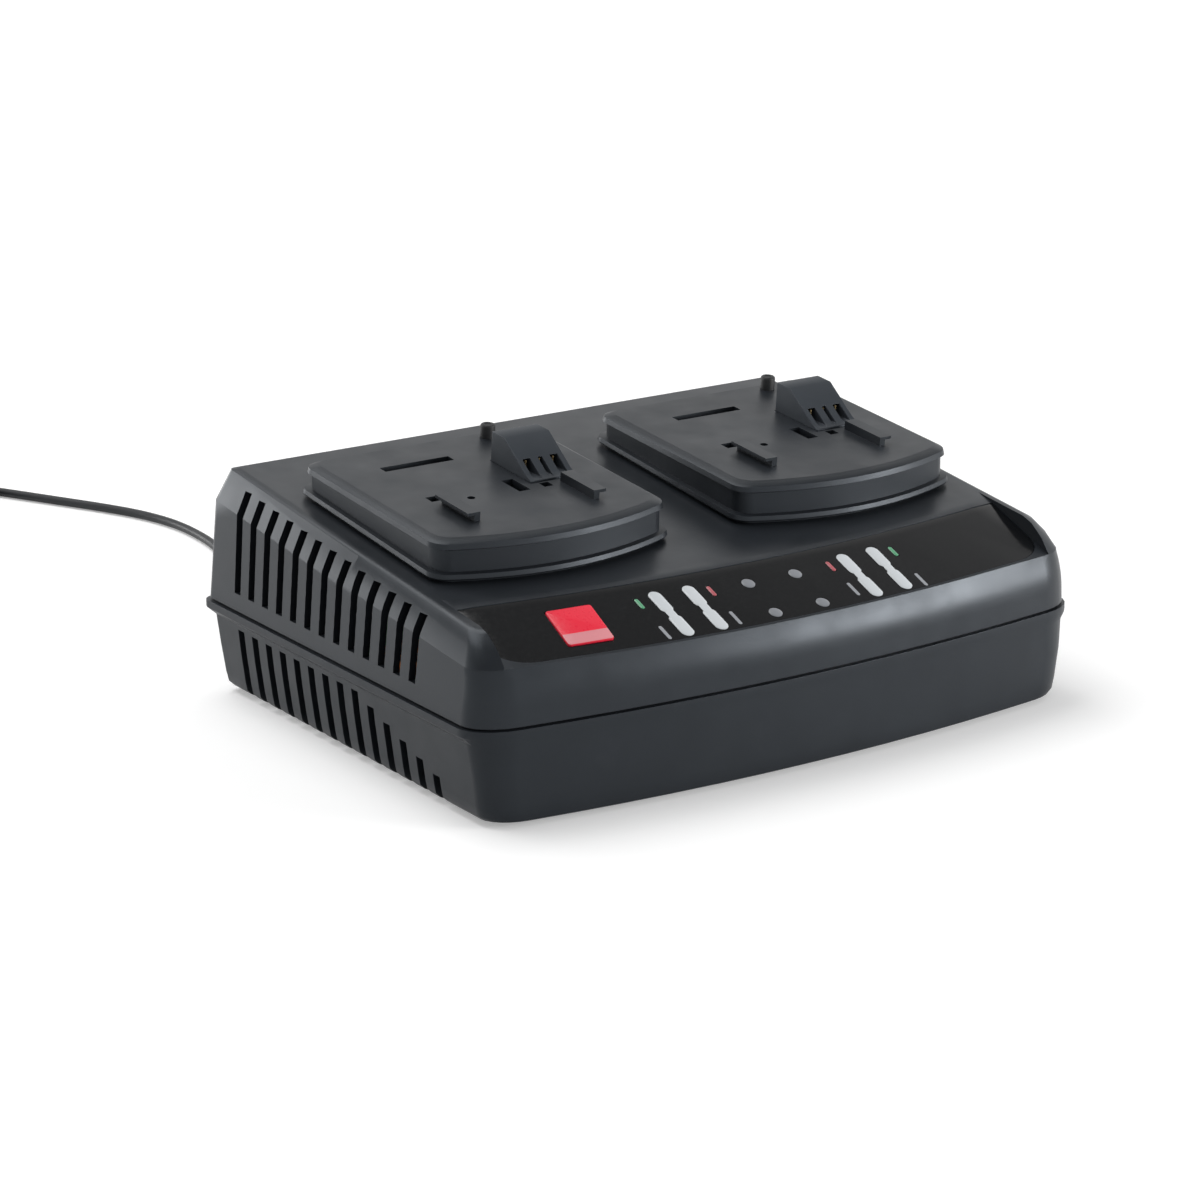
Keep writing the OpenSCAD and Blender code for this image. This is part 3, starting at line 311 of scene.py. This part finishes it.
def moulded(name, colour, rough, spread=0.14, grain_scale=1400.0, depth=0.05, strength=0.24,
            specular=0.4, cool=False):
    """Moulded plastic with a spark-eroded grain, slow change of shade and faint pale rubs."""
    material, tree, shader, where = finish_of(name, colour, rough, specular=specular)
    ramp = tone(tree, shader, where, colour, spread, 26.0)
    sheen_map(tree, shader, where, rough, 0.07, 60.0)
    grain(tree, shader, where, grain_scale, depth, strength)
    rubs = node(tree, "ShaderNodeTexNoise", Scale=38.0, Detail=5.0, Roughness=0.55)
    level = span_of(tree, 0.52, 0.8, 0.0, 0.5, "SMOOTHSTEP")
    paler = node(tree, "ShaderNodeMix", data_type="RGBA")
    paler.inputs[7].default_value = shaded(colour, 1.35, 0.004)
    link(tree, where, "Object", rubs, "Vector")
    link(tree, rubs, "Fac", level, "Value")
    link(tree, level, "Result", paler, 0)
    link(tree, ramp, "Color", paler, 6)
    link(tree, paler, 2, shader, "Base Color")
    if cool:
        shader.inputs["Specular Tint"].default_value = (0.83, 0.91, 1.0, 1)
    return material


def brushed(name, colour, rough, stretch=(900, 60, 60)):
    """Metal with fine lines along one way."""
    material, tree, shader, where = finish_of(name, colour, rough, metallic=1.0)
    turn = node(tree, "ShaderNodeMapping")
    turn.inputs["Scale"].default_value = stretch
    lines = node(tree, "ShaderNodeTexNoise", Scale=3.0, Detail=5.0, Roughness=0.65)
    ramp = ramp_of(tree, 0.3, 0.7, shaded(colour, 0.88), shaded(colour, 1.12))
    link(tree, where, "Object", turn, "Vector")
    link(tree, turn, "Vector", lines, "Vector")
    link(tree, lines, "Fac", ramp, "Fac")
    link(tree, ramp, "Color", shader, "Base Color")
    relief_of(tree, shader, lines, "Fac", 0.25, 0.02)
    sheen_map(tree, shader, where, rough, 0.08, 300.0)
    return material


def banded(name, colour, second, rough, scale, metallic=0.0, way="Z", kind="BANDS"):
    """Even bands of two shades, as wound wire, tape or fins show."""
    material, tree, shader, where = finish_of(name, colour, rough, metallic=metallic)
    wave = node(tree, "ShaderNodeTexWave", Scale=scale, Distortion=0.3, Detail=1.0, wave_type=kind)
    if kind == "BANDS":
        wave.bands_direction = way
    else:
        wave.rings_direction = way
    ramp = ramp_of(tree, 0.45, 0.55, second, colour)
    link(tree, where, "Object", wave, "Vector")
    link(tree, wave, "Fac", ramp, "Fac")
    link(tree, ramp, "Color", shader, "Base Color")
    relief_of(tree, shader, wave, "Fac", 0.6, 0.1)
    sheen_map(tree, shader, where, rough, 0.06, 400.0)
    return material


def circuit(name, colour, track):
    """Circuit board: solder mask over copper tracks."""
    rough = 0.4
    material, tree, shader, where = finish_of(name, colour, rough)
    cells = node(tree, "ShaderNodeTexVoronoi", Scale=160.0, feature="DISTANCE_TO_EDGE", distance="EUCLIDEAN")
    ramp = ramp_of(tree, 0.05, 0.08, track, colour)
    link(tree, where, "Object", cells, "Vector")
    link(tree, cells, "Distance", ramp, "Fac")
    link(tree, ramp, "Color", shader, "Base Color")
    relief_of(tree, shader, ramp, "Color", 0.4, 0.05)
    sheen_map(tree, shader, where, rough, 0.08, 500.0)
    return material


def glossy(name, colour, rough, coat, spread=0.1, specular=0.5):
    """Smooth, polished plastic with faint dust and hairlines in its gloss."""
    material, tree, shader, where = finish_of(name, colour, rough, specular=specular, coat=coat,
                                              coat_rough=0.06)
    tone(tree, shader, where, colour, spread, 40.0)
    sheen_map(tree, shader, where, rough, 0.08, 700.0)
    grain(tree, shader, where, 900.0, 0.01, 0.12)
    return material


case_plastic = moulded("case_plastic", srgb(31, 34, 38), 0.33, specular=0.34, cool=True)
# the paler edge finishes are partly rubbed wear and partly a painted highlight along the rounded edges
case_edge_wear_and_highlight = moulded("case_edge_wear_and_highlight", srgb(44, 47, 52), 0.34, specular=0.36, strength=0.15, cool=True)
lower_plastic = moulded("lower_plastic", srgb(29, 32, 36), 0.4, specular=0.3, cool=True)
lower_edge_wear_and_highlight = moulded("lower_edge_wear_and_highlight", srgb(38, 41, 46), 0.36, specular=0.3, strength=0.15, cool=True)
dock_plastic = moulded("dock_plastic", srgb(30, 33, 37), 0.4, specular=0.32, grain_scale=1900.0, depth=0.04,
                       cool=True)
dock_edge_wear_and_highlight = moulded("dock_edge_wear_and_highlight", srgb(42, 45, 50), 0.36, specular=0.34, strength=0.15, cool=True)
tower_plastic = moulded("tower_plastic", srgb(46, 50, 55), 0.42, grain_scale=1900.0, depth=0.03, cool=True)
stop_rubber = moulded("stop_rubber", srgb(26, 27, 29), 0.6, grain_scale=1200.0, depth=0.03)
panel_gloss = glossy("panel_gloss", srgb(12, 13, 15), 0.16, coat=0.0, specular=0.3)
window_white = glossy("window_white", srgb(200, 205, 208), 0.34, spread=0.03, coat=0.1)
mark_green = glossy("mark_green", srgb(84, 156, 116), 0.3, spread=0.08, coat=0.2)
mark_red = glossy("mark_red", srgb(176, 84, 92), 0.3, spread=0.08, coat=0.2)
mark_grey = glossy("mark_grey", srgb(146, 149, 154), 0.4, spread=0.08, coat=0.1)
dot_grey = glossy("dot_grey", srgb(128, 131, 136), 0.35, spread=0.1, coat=0.15)
badge_red = glossy("badge_red", srgb(232, 34, 60), 0.3, spread=0.06, coat=0.1, specular=0.3)
badge_pale = glossy("badge_pale", srgb(216, 138, 144), 0.34, spread=0.05, coat=0.1, specular=0.3)
brass = brushed("contact_brass", srgb(150, 132, 98), 0.38)
steel = brushed("screw_steel", srgb(176, 179, 184), 0.32)
pin_metal = brushed("pin_metal", srgb(150, 152, 156), 0.3, stretch=(60, 60, 900))
sink_metal = brushed("sink_aluminium", srgb(186, 189, 193), 0.42, stretch=(60, 60, 700))
foot_rubber = moulded("foot_rubber", srgb(30, 31, 33), 0.8, grain_scale=900.0, depth=0.08, specular=0.25)
cord_sheath = moulded("cord_sheath", srgb(34, 36, 39), 0.48, grain_scale=1400.0, depth=0.02, strength=0.25)
relief_rubber = moulded("relief_rubber", srgb(30, 32, 35), 0.6, grain_scale=1200.0, depth=0.03)
plug_plastic = moulded("plug_plastic", srgb(32, 34, 37), 0.5, grain_scale=1600.0, depth=0.04)
pin_sleeve = moulded("pin_sleeve", srgb(24, 25, 27), 0.42, grain_scale=1800.0, depth=0.02)
board_green = circuit("board_green", srgb(38, 104, 58), srgb(64, 140, 84))
copper_wire = banded("copper_winding", srgb(188, 112, 56), srgb(120, 62, 28), 0.35, 420.0, metallic=0.9,
                     kind="RINGS")
tape_yellow = banded("winding_tape", srgb(222, 200, 96), srgb(196, 170, 66), 0.45, 90.0)
ferrite = moulded("ferrite", srgb(66, 66, 70), 0.7, grain_scale=700.0, depth=0.05)
film_yellow = moulded("film_yellow", srgb(216, 180, 58), 0.42, spread=0.08, grain_scale=800.0, depth=0.02)
can_sleeve = banded("capacitor_can", srgb(44, 52, 66), srgb(36, 43, 55), 0.35, 30.0, way="X")
device_black = moulded("device_black", srgb(40, 40, 42), 0.55, grain_scale=1600.0, depth=0.03)
relay_blue = moulded("relay_blue", srgb(44, 106, 172), 0.4, spread=0.08, grain_scale=900.0, depth=0.02)
socket_white = moulded("socket_white", srgb(226, 222, 210), 0.5, spread=0.05, grain_scale=1300.0, depth=0.02)
terminal_green = moulded("terminal_green", srgb(78, 142, 88), 0.5, spread=0.08, grain_scale=1300.0,
                         depth=0.02)
lead_red = moulded("lead_red", srgb(160, 46, 38), 0.45, spread=0.08, grain_scale=1500.0, depth=0.02)
lead_grey = moulded("lead_grey", srgb(136, 139, 144), 0.5, spread=0.08, grain_scale=1500.0, depth=0.02)
fan_black = moulded("fan_black", srgb(30, 31, 34), 0.5, grain_scale=1500.0, depth=0.03)
rotor_black = moulded("rotor_black", srgb(40, 42, 46), 0.42, grain_scale=1500.0, depth=0.02)
fuse_glass = glossy("fuse_glass", srgb(205, 212, 214), 0.08, spread=0.04, coat=0.6)
lamp_clear = glossy("lamp_clear", srgb(240, 240, 226), 0.2, spread=0.04, coat=0.4)

# ---- Mains cord ---------------------------------------------------------
CORD_R = 2
CORD_X, CORD_Z, RELIEF_END = -72, 22, 138.15
# The cord's way: x and y from where it leaves the relief, or from the coil's middle; z from the floor
CORD_RUN = [(0, 0.15, 22), (0, 5.85, 21.6), (0.2, 11.85, 20), (0.5, 18.35, 17), (1, 24.85, 12.8),
            (1.6, 30.85, 8.6), (2.4, 37.25, 5.2), (3.4, 44.25, 3.1), (4.8, 52.65, 2.2), (6.8, 62.65, 2),
            (9.1, 72.65, 2), (11.8, 82.65, 2), (14.8, 92.65, 2), (18, 102.65, 2), (21, 112.65, 2),
            (23.8, 122.65, 2), (26, 131.65, 2), (27.6, 140.65, 2), (28.6, 150.65, 2), (29, 160.65, 2),
            (28.7, 170.65, 2), (27.4, 180.65, 2), (24.8, 191.65, 2), (21, 202.65, 2), (16, 213.65, 2),
            (10.4, 224.65, 2), (4.4, 235.65, 2), (-1.6, 246.65, 2), (-7.6, 257.65, 2), (-13.4, 268.15, 2),
            (-19, 278.25, 2)]
COIL_AT = (CORD_X - 50, RELIEF_END + 276.85)
TAIL_RUN = [(-23.7, 21.2, 6), (-30.9, 15.6, 5.7), (-38, 10, 5.8), (-45.4, 5.1, 6.5), (-51.8, 1.4, 7)]
# Angles at which the coil starts, is innermost, has risen by a cord and ends, and its radii
COIL_START, COIL_IN, COIL_UP, COIL_STOP = 4.5, 1444.5, 1559.5, 122 + 8 * 360
COIL_OUTER, COIL_INNER, COIL_LEAVE = 29.8, 15, 30.8
COIL_STEP = 10
ENTRY_OUT, ENTRY_TURN = 1.2, 25     # how far out the cord comes in, and over how many degrees


def coil_points():
    """Centreline of the coil: a flat spiral inwards, then one outwards on top of it."""
    points = []
    steps = int((COIL_STOP - COIL_START) / COIL_STEP)
    for i in range(1, steps):
        angle = COIL_START + (COIL_STOP - COIL_START) * i / steps
        inwards = min(1, (angle - COIL_START) / (COIL_IN - COIL_START))
        rise = min(1, max(0, (angle - COIL_IN) / (COIL_UP - COIL_IN)))
        outwards = max(0, (angle - COIL_UP) / (COIL_STOP - COIL_UP))
        radius = COIL_OUTER + (COIL_INNER - COIL_OUTER) * inwards + (COIL_LEAVE - COIL_INNER) * outwards
        radius += ENTRY_OUT * max(0, 1 - (angle - COIL_START) / ENTRY_TURN) ** 2
        height = CORD_R + 2 * CORD_R * rise * rise * (3 - 2 * rise)
        turn = math.radians(angle)
        points.append((COIL_AT[0] + radius * math.cos(turn), COIL_AT[1] + radius * math.sin(turn), height))
    return points


cord_points = ([(CORD_X + x, RELIEF_END + y, z) for x, y, z in CORD_RUN] + coil_points()
               + [(COIL_AT[0] + x, COIL_AT[1] + y, z) for x, y, z in TAIL_RUN])
flex = bpy.data.curves.new("mains_flex", "CURVE")
flex.dimensions = "3D"
flex.resolution_u = flex.render_resolution_u = 6
flex.bevel_depth = CORD_R * MM
flex.bevel_resolution = 3
flex.use_fill_caps = True
line = flex.splines.new("BEZIER")
line.bezier_points.add(len(cord_points) - 1)
for knot, place in zip(line.bezier_points, cord_points):
    knot.co = Vector(place) * MM
    knot.handle_left_type = knot.handle_right_type = "AUTO"
flex.materials.append(cord_sheath)
cord = bpy.data.objects.new("mains_flex", flex)
bpy.context.scene.collection.objects.link(cord)
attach(cord, "housing")
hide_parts("mains_cord", "cord_coil", "cord_tail")
bpy.context.view_layer.update()

# Ribbed strain relief, turned about the cord: a flange inside the wall, its neck, and tapering ribs
PAD_Y = (HALF_D - 11, HALF_D - 3.8)
RELIEF_FOOT = PAD_Y[1] + 2
RELIEF_L = RELIEF_END - RELIEF_FOOT
RELIEF_BORE, RELIEF_R, RELIEF_TAPER, RIBS = 2.02, 5.4, 2.1, 6
relief_side = []
for rib in range(RIBS):
    for part, drop in ((0.04, 0.25), (0.12, 0), (0.56, 0), (0.63, 0.25), (0.67, 0.7), (0.94, 0.7)):
        share = (rib + part) / RIBS
        relief_side.append((RELIEF_R - RELIEF_TAPER * share - drop, RELIEF_FOOT + share * RELIEF_L))
relief = lathe([(RELIEF_BORE, PAD_Y[0] - 2), (6.2, PAD_Y[0] - 2), (6.5, PAD_Y[0] - 1.7), (6.5, PAD_Y[0]),
                (4.4, PAD_Y[0]), (4.4, PAD_Y[1]), (6.5, PAD_Y[1]), (6.5, PAD_Y[1] + 1.4),
                (6.1, PAD_Y[1] + 1.9), (5.5, RELIEF_FOOT)] + relief_side
               + [(3.1, RELIEF_END - 0.6), (2.8, RELIEF_END - 0.1), (RELIEF_BORE, RELIEF_END),
                  (RELIEF_BORE, PAD_Y[0] - 2)], 40)
along_cord = Matrix.Translation((CORD_X * MM, 0, CORD_Z * MM)) @ Matrix.Rotation(-math.pi / 2, 4, "X")
bmesh.ops.transform(relief, verts=relief.verts, matrix=along_cord)
relief = piece("cord_relief", relief, relief_rubber)
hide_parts("strain_relief")

# Plug: a flat body that narrows to the cord, a ribbed collar, grip ribs and sleeved pins
PLUG_TURN, PLUG_HALF, PLUG_FACE = 210, 7, 36
PLUG_OUTLINE = ((6, -6), (17, -17.5), (PLUG_FACE, -17.5), (PLUG_FACE, 17.5), (17, 17.5), (6, 6))
GRIP_START, GRIP_PITCH, GRIP_COUNT = 19, 2.6, 5
PIN_OFF = 9.3
PLUG_AT = (COIL_AT[0] + TAIL_RUN[-1][0], COIL_AT[1] + TAIL_RUN[-1][1], PLUG_HALF)
plug_frame = Matrix.Translation(Vector(PLUG_AT) * MM) @ Matrix.Rotation(math.radians(PLUG_TURN), 4, "Z")
body = bmesh.new()
sole = body.faces.new([body.verts.new((x * MM, y * MM, -PLUG_HALF * MM)) for x, y in PLUG_OUTLINE])
raised = bmesh.ops.extrude_face_region(body, geom=[sole])["geom"]
bmesh.ops.translate(body, vec=(0, 0, 2 * PLUG_HALF * MM), verts=corner_points(raised))
bmesh.ops.recalc_face_normals(body, faces=body.faces)
rounded(body, [e for e in body.edges if abs(e.verts[0].co.z - e.verts[1].co.z) > 1e-3], 3.6, 6)
rounded(body, [e for e in body.edges
               if abs(e.verts[0].co.z - e.verts[1].co.z) < 1e-4 and e.calc_face_angle(0) > 1], 2.2, 4)
collar = lathe([(2.02, 0.2), (3.1, 0.2), (3.4, 0.7), (3.55, 1.9), (3.2, 2.1), (3.25, 2.7), (3.8, 2.9),
                (3.95, 4.3), (3.6, 4.5), (3.7, 5.1), (4.3, 5.3), (4.9, 7.4), (2.02, 7.4), (2.02, 0.2)], 36)
bmesh.ops.transform(collar, matrix=Matrix.Rotation(math.pi / 2, 4, "Y"), verts=collar.verts)
plug = piece("plug_shell", placed(together(body, collar), plug_frame), plug_plastic)
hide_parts("plug_body")
grip_places = [(GRIP_START + GRIP_PITCH * k, 0, PLUG_HALF - 0.25) for k in range(GRIP_COUNT)]
grip_frames = [plug_frame @ Matrix.Translation(Vector(place) * MM) for place in grip_places]
grip = piece("plug_grip_ribs", placed(block((1.1, 17, 0.45), 0.18), *grip_frames), plug_plastic)
sleeve = lathe([(0, -2), (1.99, -2), (1.99, 9.6), (1.9, 9.9), (1.55, 9.9), (0, 9.9)], 28)
tip = lathe([(0, 9), (1.85, 9), (1.85, 17.2), (1.6, 18.4), (1, 19), (0, 19)], 28)
pin_frames = [plug_frame @ Matrix.Translation(Vector((PLUG_FACE, side * PIN_OFF, 0)) * MM)
              @ Matrix.Rotation(math.pi / 2, 4, "Y") for side in (-1, 1)]
sleeves = piece("pin_sleeves", placed(sleeve, *pin_frames), pin_sleeve)
pins = piece("plug_pin_pair", placed(tip, *pin_frames), pin_metal)
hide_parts("plug_pins")

# ---- Case ---------------------------------------------------------------
def dressed(name, solid, finishes, width, segments=2, edge=34, smooth=32):
    """Piece with a solid's own form, its sharp edges rounded by width in millimetres."""
    return piece(name, softened(merged_copy(solid), width, segments, edge), finishes, angle=smooth)


# the second finish of each moulding is its paler edge, partly rubbed wear and partly a painted highlight
cover = evened(dressed("cover_moulding", "upper_cover", [case_plastic, case_edge_wear_and_highlight], 0.5))
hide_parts("upper_cover")
lower = evened(dressed("lower_moulding", "lower_case", [lower_plastic, lower_edge_wear_and_highlight], 0.5))
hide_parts("lower_case")
for side in ("left", "right"):
    dock = evened(dressed(side + "_dock_moulding", side + "_dock_plate", [dock_plastic, dock_edge_wear_and_highlight],
                          0.45))
    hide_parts(side + "_dock_plate")
    tower = evened(dressed(side + "_tower_moulding", side + "_terminal_block", [tower_plastic, dock_edge_wear_and_highlight],
                           0.5, 3))
    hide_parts(side + "_terminal_block")
    blades = dressed(side + "_blade_set", side + "_contact_blades", [brass, brass], 0.18, 1)
    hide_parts(side + "_contact_blades")
STOP_U, STOP_V = 27.5, 51.4
stop = lathe([(0, -4.4), (1.9, -4.4), (1.9, -2.6), (1.4, -2.5), (1.4, 0), (3, 0), (3, 4.7), (2.85, 5.15),
              (2.5, 5.45), (1.6, 5.5), (1.3, 5.2), (0, 5.1)], 32)
stops = piece("stop_pegs", placed(stop, *[on_dock(sign, STOP_U, STOP_V) for sign in (-1, 1)]), stop_rubber)
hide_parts("rear_stops")

# ---- Indicator panel ----------------------------------------------------
panel = evened(dressed("indicator_glass", "indicator_panel", [panel_gloss, panel_gloss], 0.22,
                       edge=40, smooth=24))
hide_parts("indicator_panel")


def on_panel(form, places, sunk):
    """The form at each place: how far along the slope, how far up it, and sunk below it."""
    return placed(form, *[on_slope(x, t, -sunk) for x, t in places])


BAR_XS, WINDOW_TS, NECK_T = (36.2, 51), (9, 23.5), 16.25
MARK_OUT, MARK_IN, MARK_T = 59.5, 28, 24.5
STRIPS_AT = ((-57.7, 6.5), (-26.3, 7.5), (30.2, 9.5), (61.5, 5.8))
DOT_X, DOT_TS = 11, (6.2, 24.8)
for name, sign in (("left", -1), ("right", 1)):
    bars = [ROW_X + sign * x for x in BAR_XS]
    ends = on_panel(lens(5.5, 12.9, 0.3), [(x, t) for x in bars for t in WINDOW_TS], 0.2)
    necks = on_panel(lens(3.8, 6, 0.12, depth=0.1, soft=0.2), [(x, NECK_T) for x in bars], 0.1)
    windows = piece(name + "_window_lenses", together(ends, necks), window_white)
    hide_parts(name + "_light_windows")
    for place, x, paint in (("outer", MARK_OUT, mark_green), ("inner", MARK_IN, mark_red)):
        mark = on_panel(lens(1.7, 5.9, 0.2, soft=0.15), [(ROW_X + sign * x, MARK_T)], 0.2)
        piece(name + "_" + place + "_mark_lens", mark, paint)
# plain printed strips under the small lenses
piece("printed_strips", on_panel(lens(1.5, 8, 0.03, depth=0.06, soft=0.1), STRIPS_AT, 0.16), mark_grey)
dots_at = [(ROW_X + sign * DOT_X, t) for sign in (-1, 1) for t in DOT_TS]
dots = piece("dot_lenses", on_panel(lens(5.3, 5.3, 0.3), dots_at, 0.2), dot_grey)
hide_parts("status_dots")

# Badge: a bare raised plate with a paler lower band
BADGE_SIZE, BADGE_X, BADGE_T, BADGE_BAND = (19, 20.5, 1.4), -88.5, 17.5, -4.2
badge = block(BADGE_SIZE)
rounded(badge, [e for e in badge.edges if abs(e.verts[0].co.z - e.verts[1].co.z) > 1e-4], 1.3, 6)
top = (BADGE_SIZE[2] - 0.1) * MM
rounded(badge, [e for e in badge.edges if all(v.co.z > top for v in e.verts)], 0.45, 3)
bmesh.ops.bisect_plane(badge, geom=badge.verts[:] + badge.edges[:] + badge.faces[:],
                       plane_co=(0, BADGE_BAND * MM, 0), plane_no=(0, 1, 0))
for face in badge.faces:
    if face.normal.z > 0.9 and face.calc_center_median().y < BADGE_BAND * MM:
        face.material_index = 1
bmesh.ops.transform(badge, verts=badge.verts, matrix=on_slope(BADGE_X, BADGE_T, -0.8, True))
badge = piece("badge_plaque", badge, [badge_red, badge_pale])
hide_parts("badge_plate")

# ---- Feet ---------------------------------------------------------------
FOOT_XS, FOOT_YS = (-91, 91), (77.25, -73.25)
foot = lathe([(0, 0.35), (3.2, 0.35), (3.6, 0), (8.3, 0), (8.8, 0.2), (9, 0.6), (9, 2.5), (0, 2.5)], 40)
foot_frames = [Matrix.Translation((x * MM, y * MM, 0)) for x in FOOT_XS for y in FOOT_YS]
feet = piece("foot_pads", placed(foot, *foot_frames), foot_rubber)
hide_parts("rubber_feet")

# ---- Finishes of the solids that stay as they are -----------------------
KEPT = {
    "fuse_clips": brass, "dock_screws": steel, "case_screws": steel, "panel_screws": steel,
    "board_screws": steel, "clamp_screws": steel, "cord_clamp": lower_plastic,
    "indicator_board": board_green, "main_board": board_green, "indicator_leds": lamp_clear,
    "panel_lead": lead_grey, "inlet_terminal": terminal_green, "mains_fuse": fuse_glass,
    "choke_core": ferrite, "choke_winding": copper_wire, "filter_capacitor": film_yellow,
    "bulk_capacitor": can_sleeve, "primary_heat_sink": sink_metal, "output_heat_sink": sink_metal,
    "power_transistors": device_black, "output_rectifiers": device_black, "transformer_core": ferrite,
    "transformer_winding": tape_yellow, "output_capacitors": can_sleeve, "output_chokes": copper_wire,
    "port_relays": relay_blue, "control_chips": device_black, "output_connectors": socket_white,
    "panel_connector": socket_white, "fan_connector": socket_white, "left_dock_leads": lead_red,
    "right_dock_leads": lead_red, "fan_frame": fan_black, "fan_rotor": rotor_black, "fan_lead": lead_red,
    "inlet_lead": cord_sheath,
}
for name, finish in KEPT.items():
    mesh = nodes[name].data
    mesh.materials.clear()
    mesh.materials.append(finish)

# ---- Floor, backdrop and light ------------------------------------------
FLOOR_R, FLOOR_DROP = 9, 0.0003     # metres; the drop keeps the floor out of the feet's soles
floor_paint, tree, shader, where = finish_of("floor_paint", (0.8, 0.8, 0.8, 1), 0.9, specular=0.05)
path = node(tree, "ShaderNodeLightPath")
either = node(tree, "ShaderNodeMath", operation="MAXIMUM")
away = node(tree, "ShaderNodeVectorMath", operation="LENGTH")
# brighter with the distance from the object, in metres
rise = span_of(tree, 0.35, 2.0, 0.3, 1.0, "SMOOTHSTEP")
strength = node(tree, "ShaderNodeMath", operation="MULTIPLY")
link(tree, path, "Is Camera Ray", either, 0)
link(tree, path, "Is Glossy Ray", either, 1)
link(tree, where, "Object", away, 0)
link(tree, away, "Value", rise, "Value")
link(tree, either, "Value", strength, 0)
link(tree, rise, "Result", strength, 1)
link(tree, strength, "Value", shader, "Emission Strength")
sweep = node(tree, "ShaderNodeTexNoise", Scale=1.2, Detail=2.0)
span = span_of(tree, 0.0, 1.0, 0.985, 1.0)
shade = node(tree, "ShaderNodeMix", data_type="RGBA")
shade.inputs[6].default_value = (0.36, 0.36, 0.36, 1)
shade.inputs[7].default_value = (0.82, 0.82, 0.82, 1)
fine = node(tree, "ShaderNodeMix", data_type="RGBA", blend_type="MULTIPLY")
fine.inputs[0].default_value = 1.0
link(tree, where, "Object", sweep, "Vector")
link(tree, sweep, "Fac", span, "Value")
link(tree, either, "Value", shade, 0)
link(tree, shade, 2, fine, 6)
link(tree, span, "Result", fine, 7)
link(tree, fine, 2, shader, "Base Color")
shader.inputs["Emission Color"].default_value = (1, 1, 1, 1)
ground = bmesh.new()
bmesh.ops.create_circle(ground, cap_ends=True, segments=64, radius=FLOOR_R)
ground_mesh = bpy.data.meshes.new("floor")
ground.to_mesh(ground_mesh)
ground.free()
ground_mesh.materials.append(floor_paint)
floor = bpy.data.objects.new("floor", ground_mesh)
floor.location.z = -FLOOR_DROP
bpy.context.scene.collection.objects.link(floor)

world = bpy.data.worlds.new("studio")
bpy.context.scene.world = world
world.use_nodes = True
tree = world.node_tree
sky = tree.nodes["Background"]
sky.inputs["Color"].default_value = (1, 1, 1, 1)
path = node(tree, "ShaderNodeLightPath")
seen = node(tree, "ShaderNodeMath", operation="MAXIMUM")
compass = node(tree, "ShaderNodeTexCoord")
height = node(tree, "ShaderNodeSeparateXYZ")
# less bright overhead in reflections
ceiling = span_of(tree, 0.42, 0.8, 1.0, 0.3, "SMOOTHSTEP")
in_gloss = node(tree, "ShaderNodeMix", data_type="FLOAT")
in_gloss.inputs[2].default_value = 0.34
in_view = node(tree, "ShaderNodeMix", data_type="FLOAT")
in_view.inputs[3].default_value = 1.0
link(tree, compass, "Generated", height, "Vector")
link(tree, height, "Z", ceiling, "Value")
link(tree, path, "Is Glossy Ray", in_gloss, 0)
link(tree, ceiling, "Result", in_gloss, 3)
link(tree, path, "Is Camera Ray", seen, 0)
link(tree, path, "Is Transmission Ray", seen, 1)
link(tree, seen, "Value", in_view, 0)
link(tree, in_gloss, "Result", in_view, 2)
link(tree, in_view, "Result", sky, "Strength")


def softbox(name, place, aim, size, power):
    """Rectangular lamp that looks at a point, in metres and watts."""
    lamp = bpy.data.objects.new(name, bpy.data.lights.new(name, "AREA"))
    bpy.context.scene.collection.objects.link(lamp)
    lamp.data.shape = "RECTANGLE"
    lamp.data.size, lamp.data.size_y = size
    lamp.data.energy = power
    lamp.location = place
    lamp.rotation_euler = (Vector(aim) - Vector(place)).to_track_quat("-Z", "Y").to_euler()


softbox("overhead_softbox", (-0.3, 0.6, 1.55), (0, 0, 0.05), (1.5, 1.1), 19)
softbox("rear_left_softbox", (-0.74, 1.55, 0.27), (-0.1, 0.05, 0.05), (0.8, 0.5), 9)
softbox("nose_softbox", (1.27, -1.28, 0.34), (0.03, -0.08, 0.055), (0.75, 0.6), 25)

bpy.context.scene.view_settings.view_transform = "Standard"
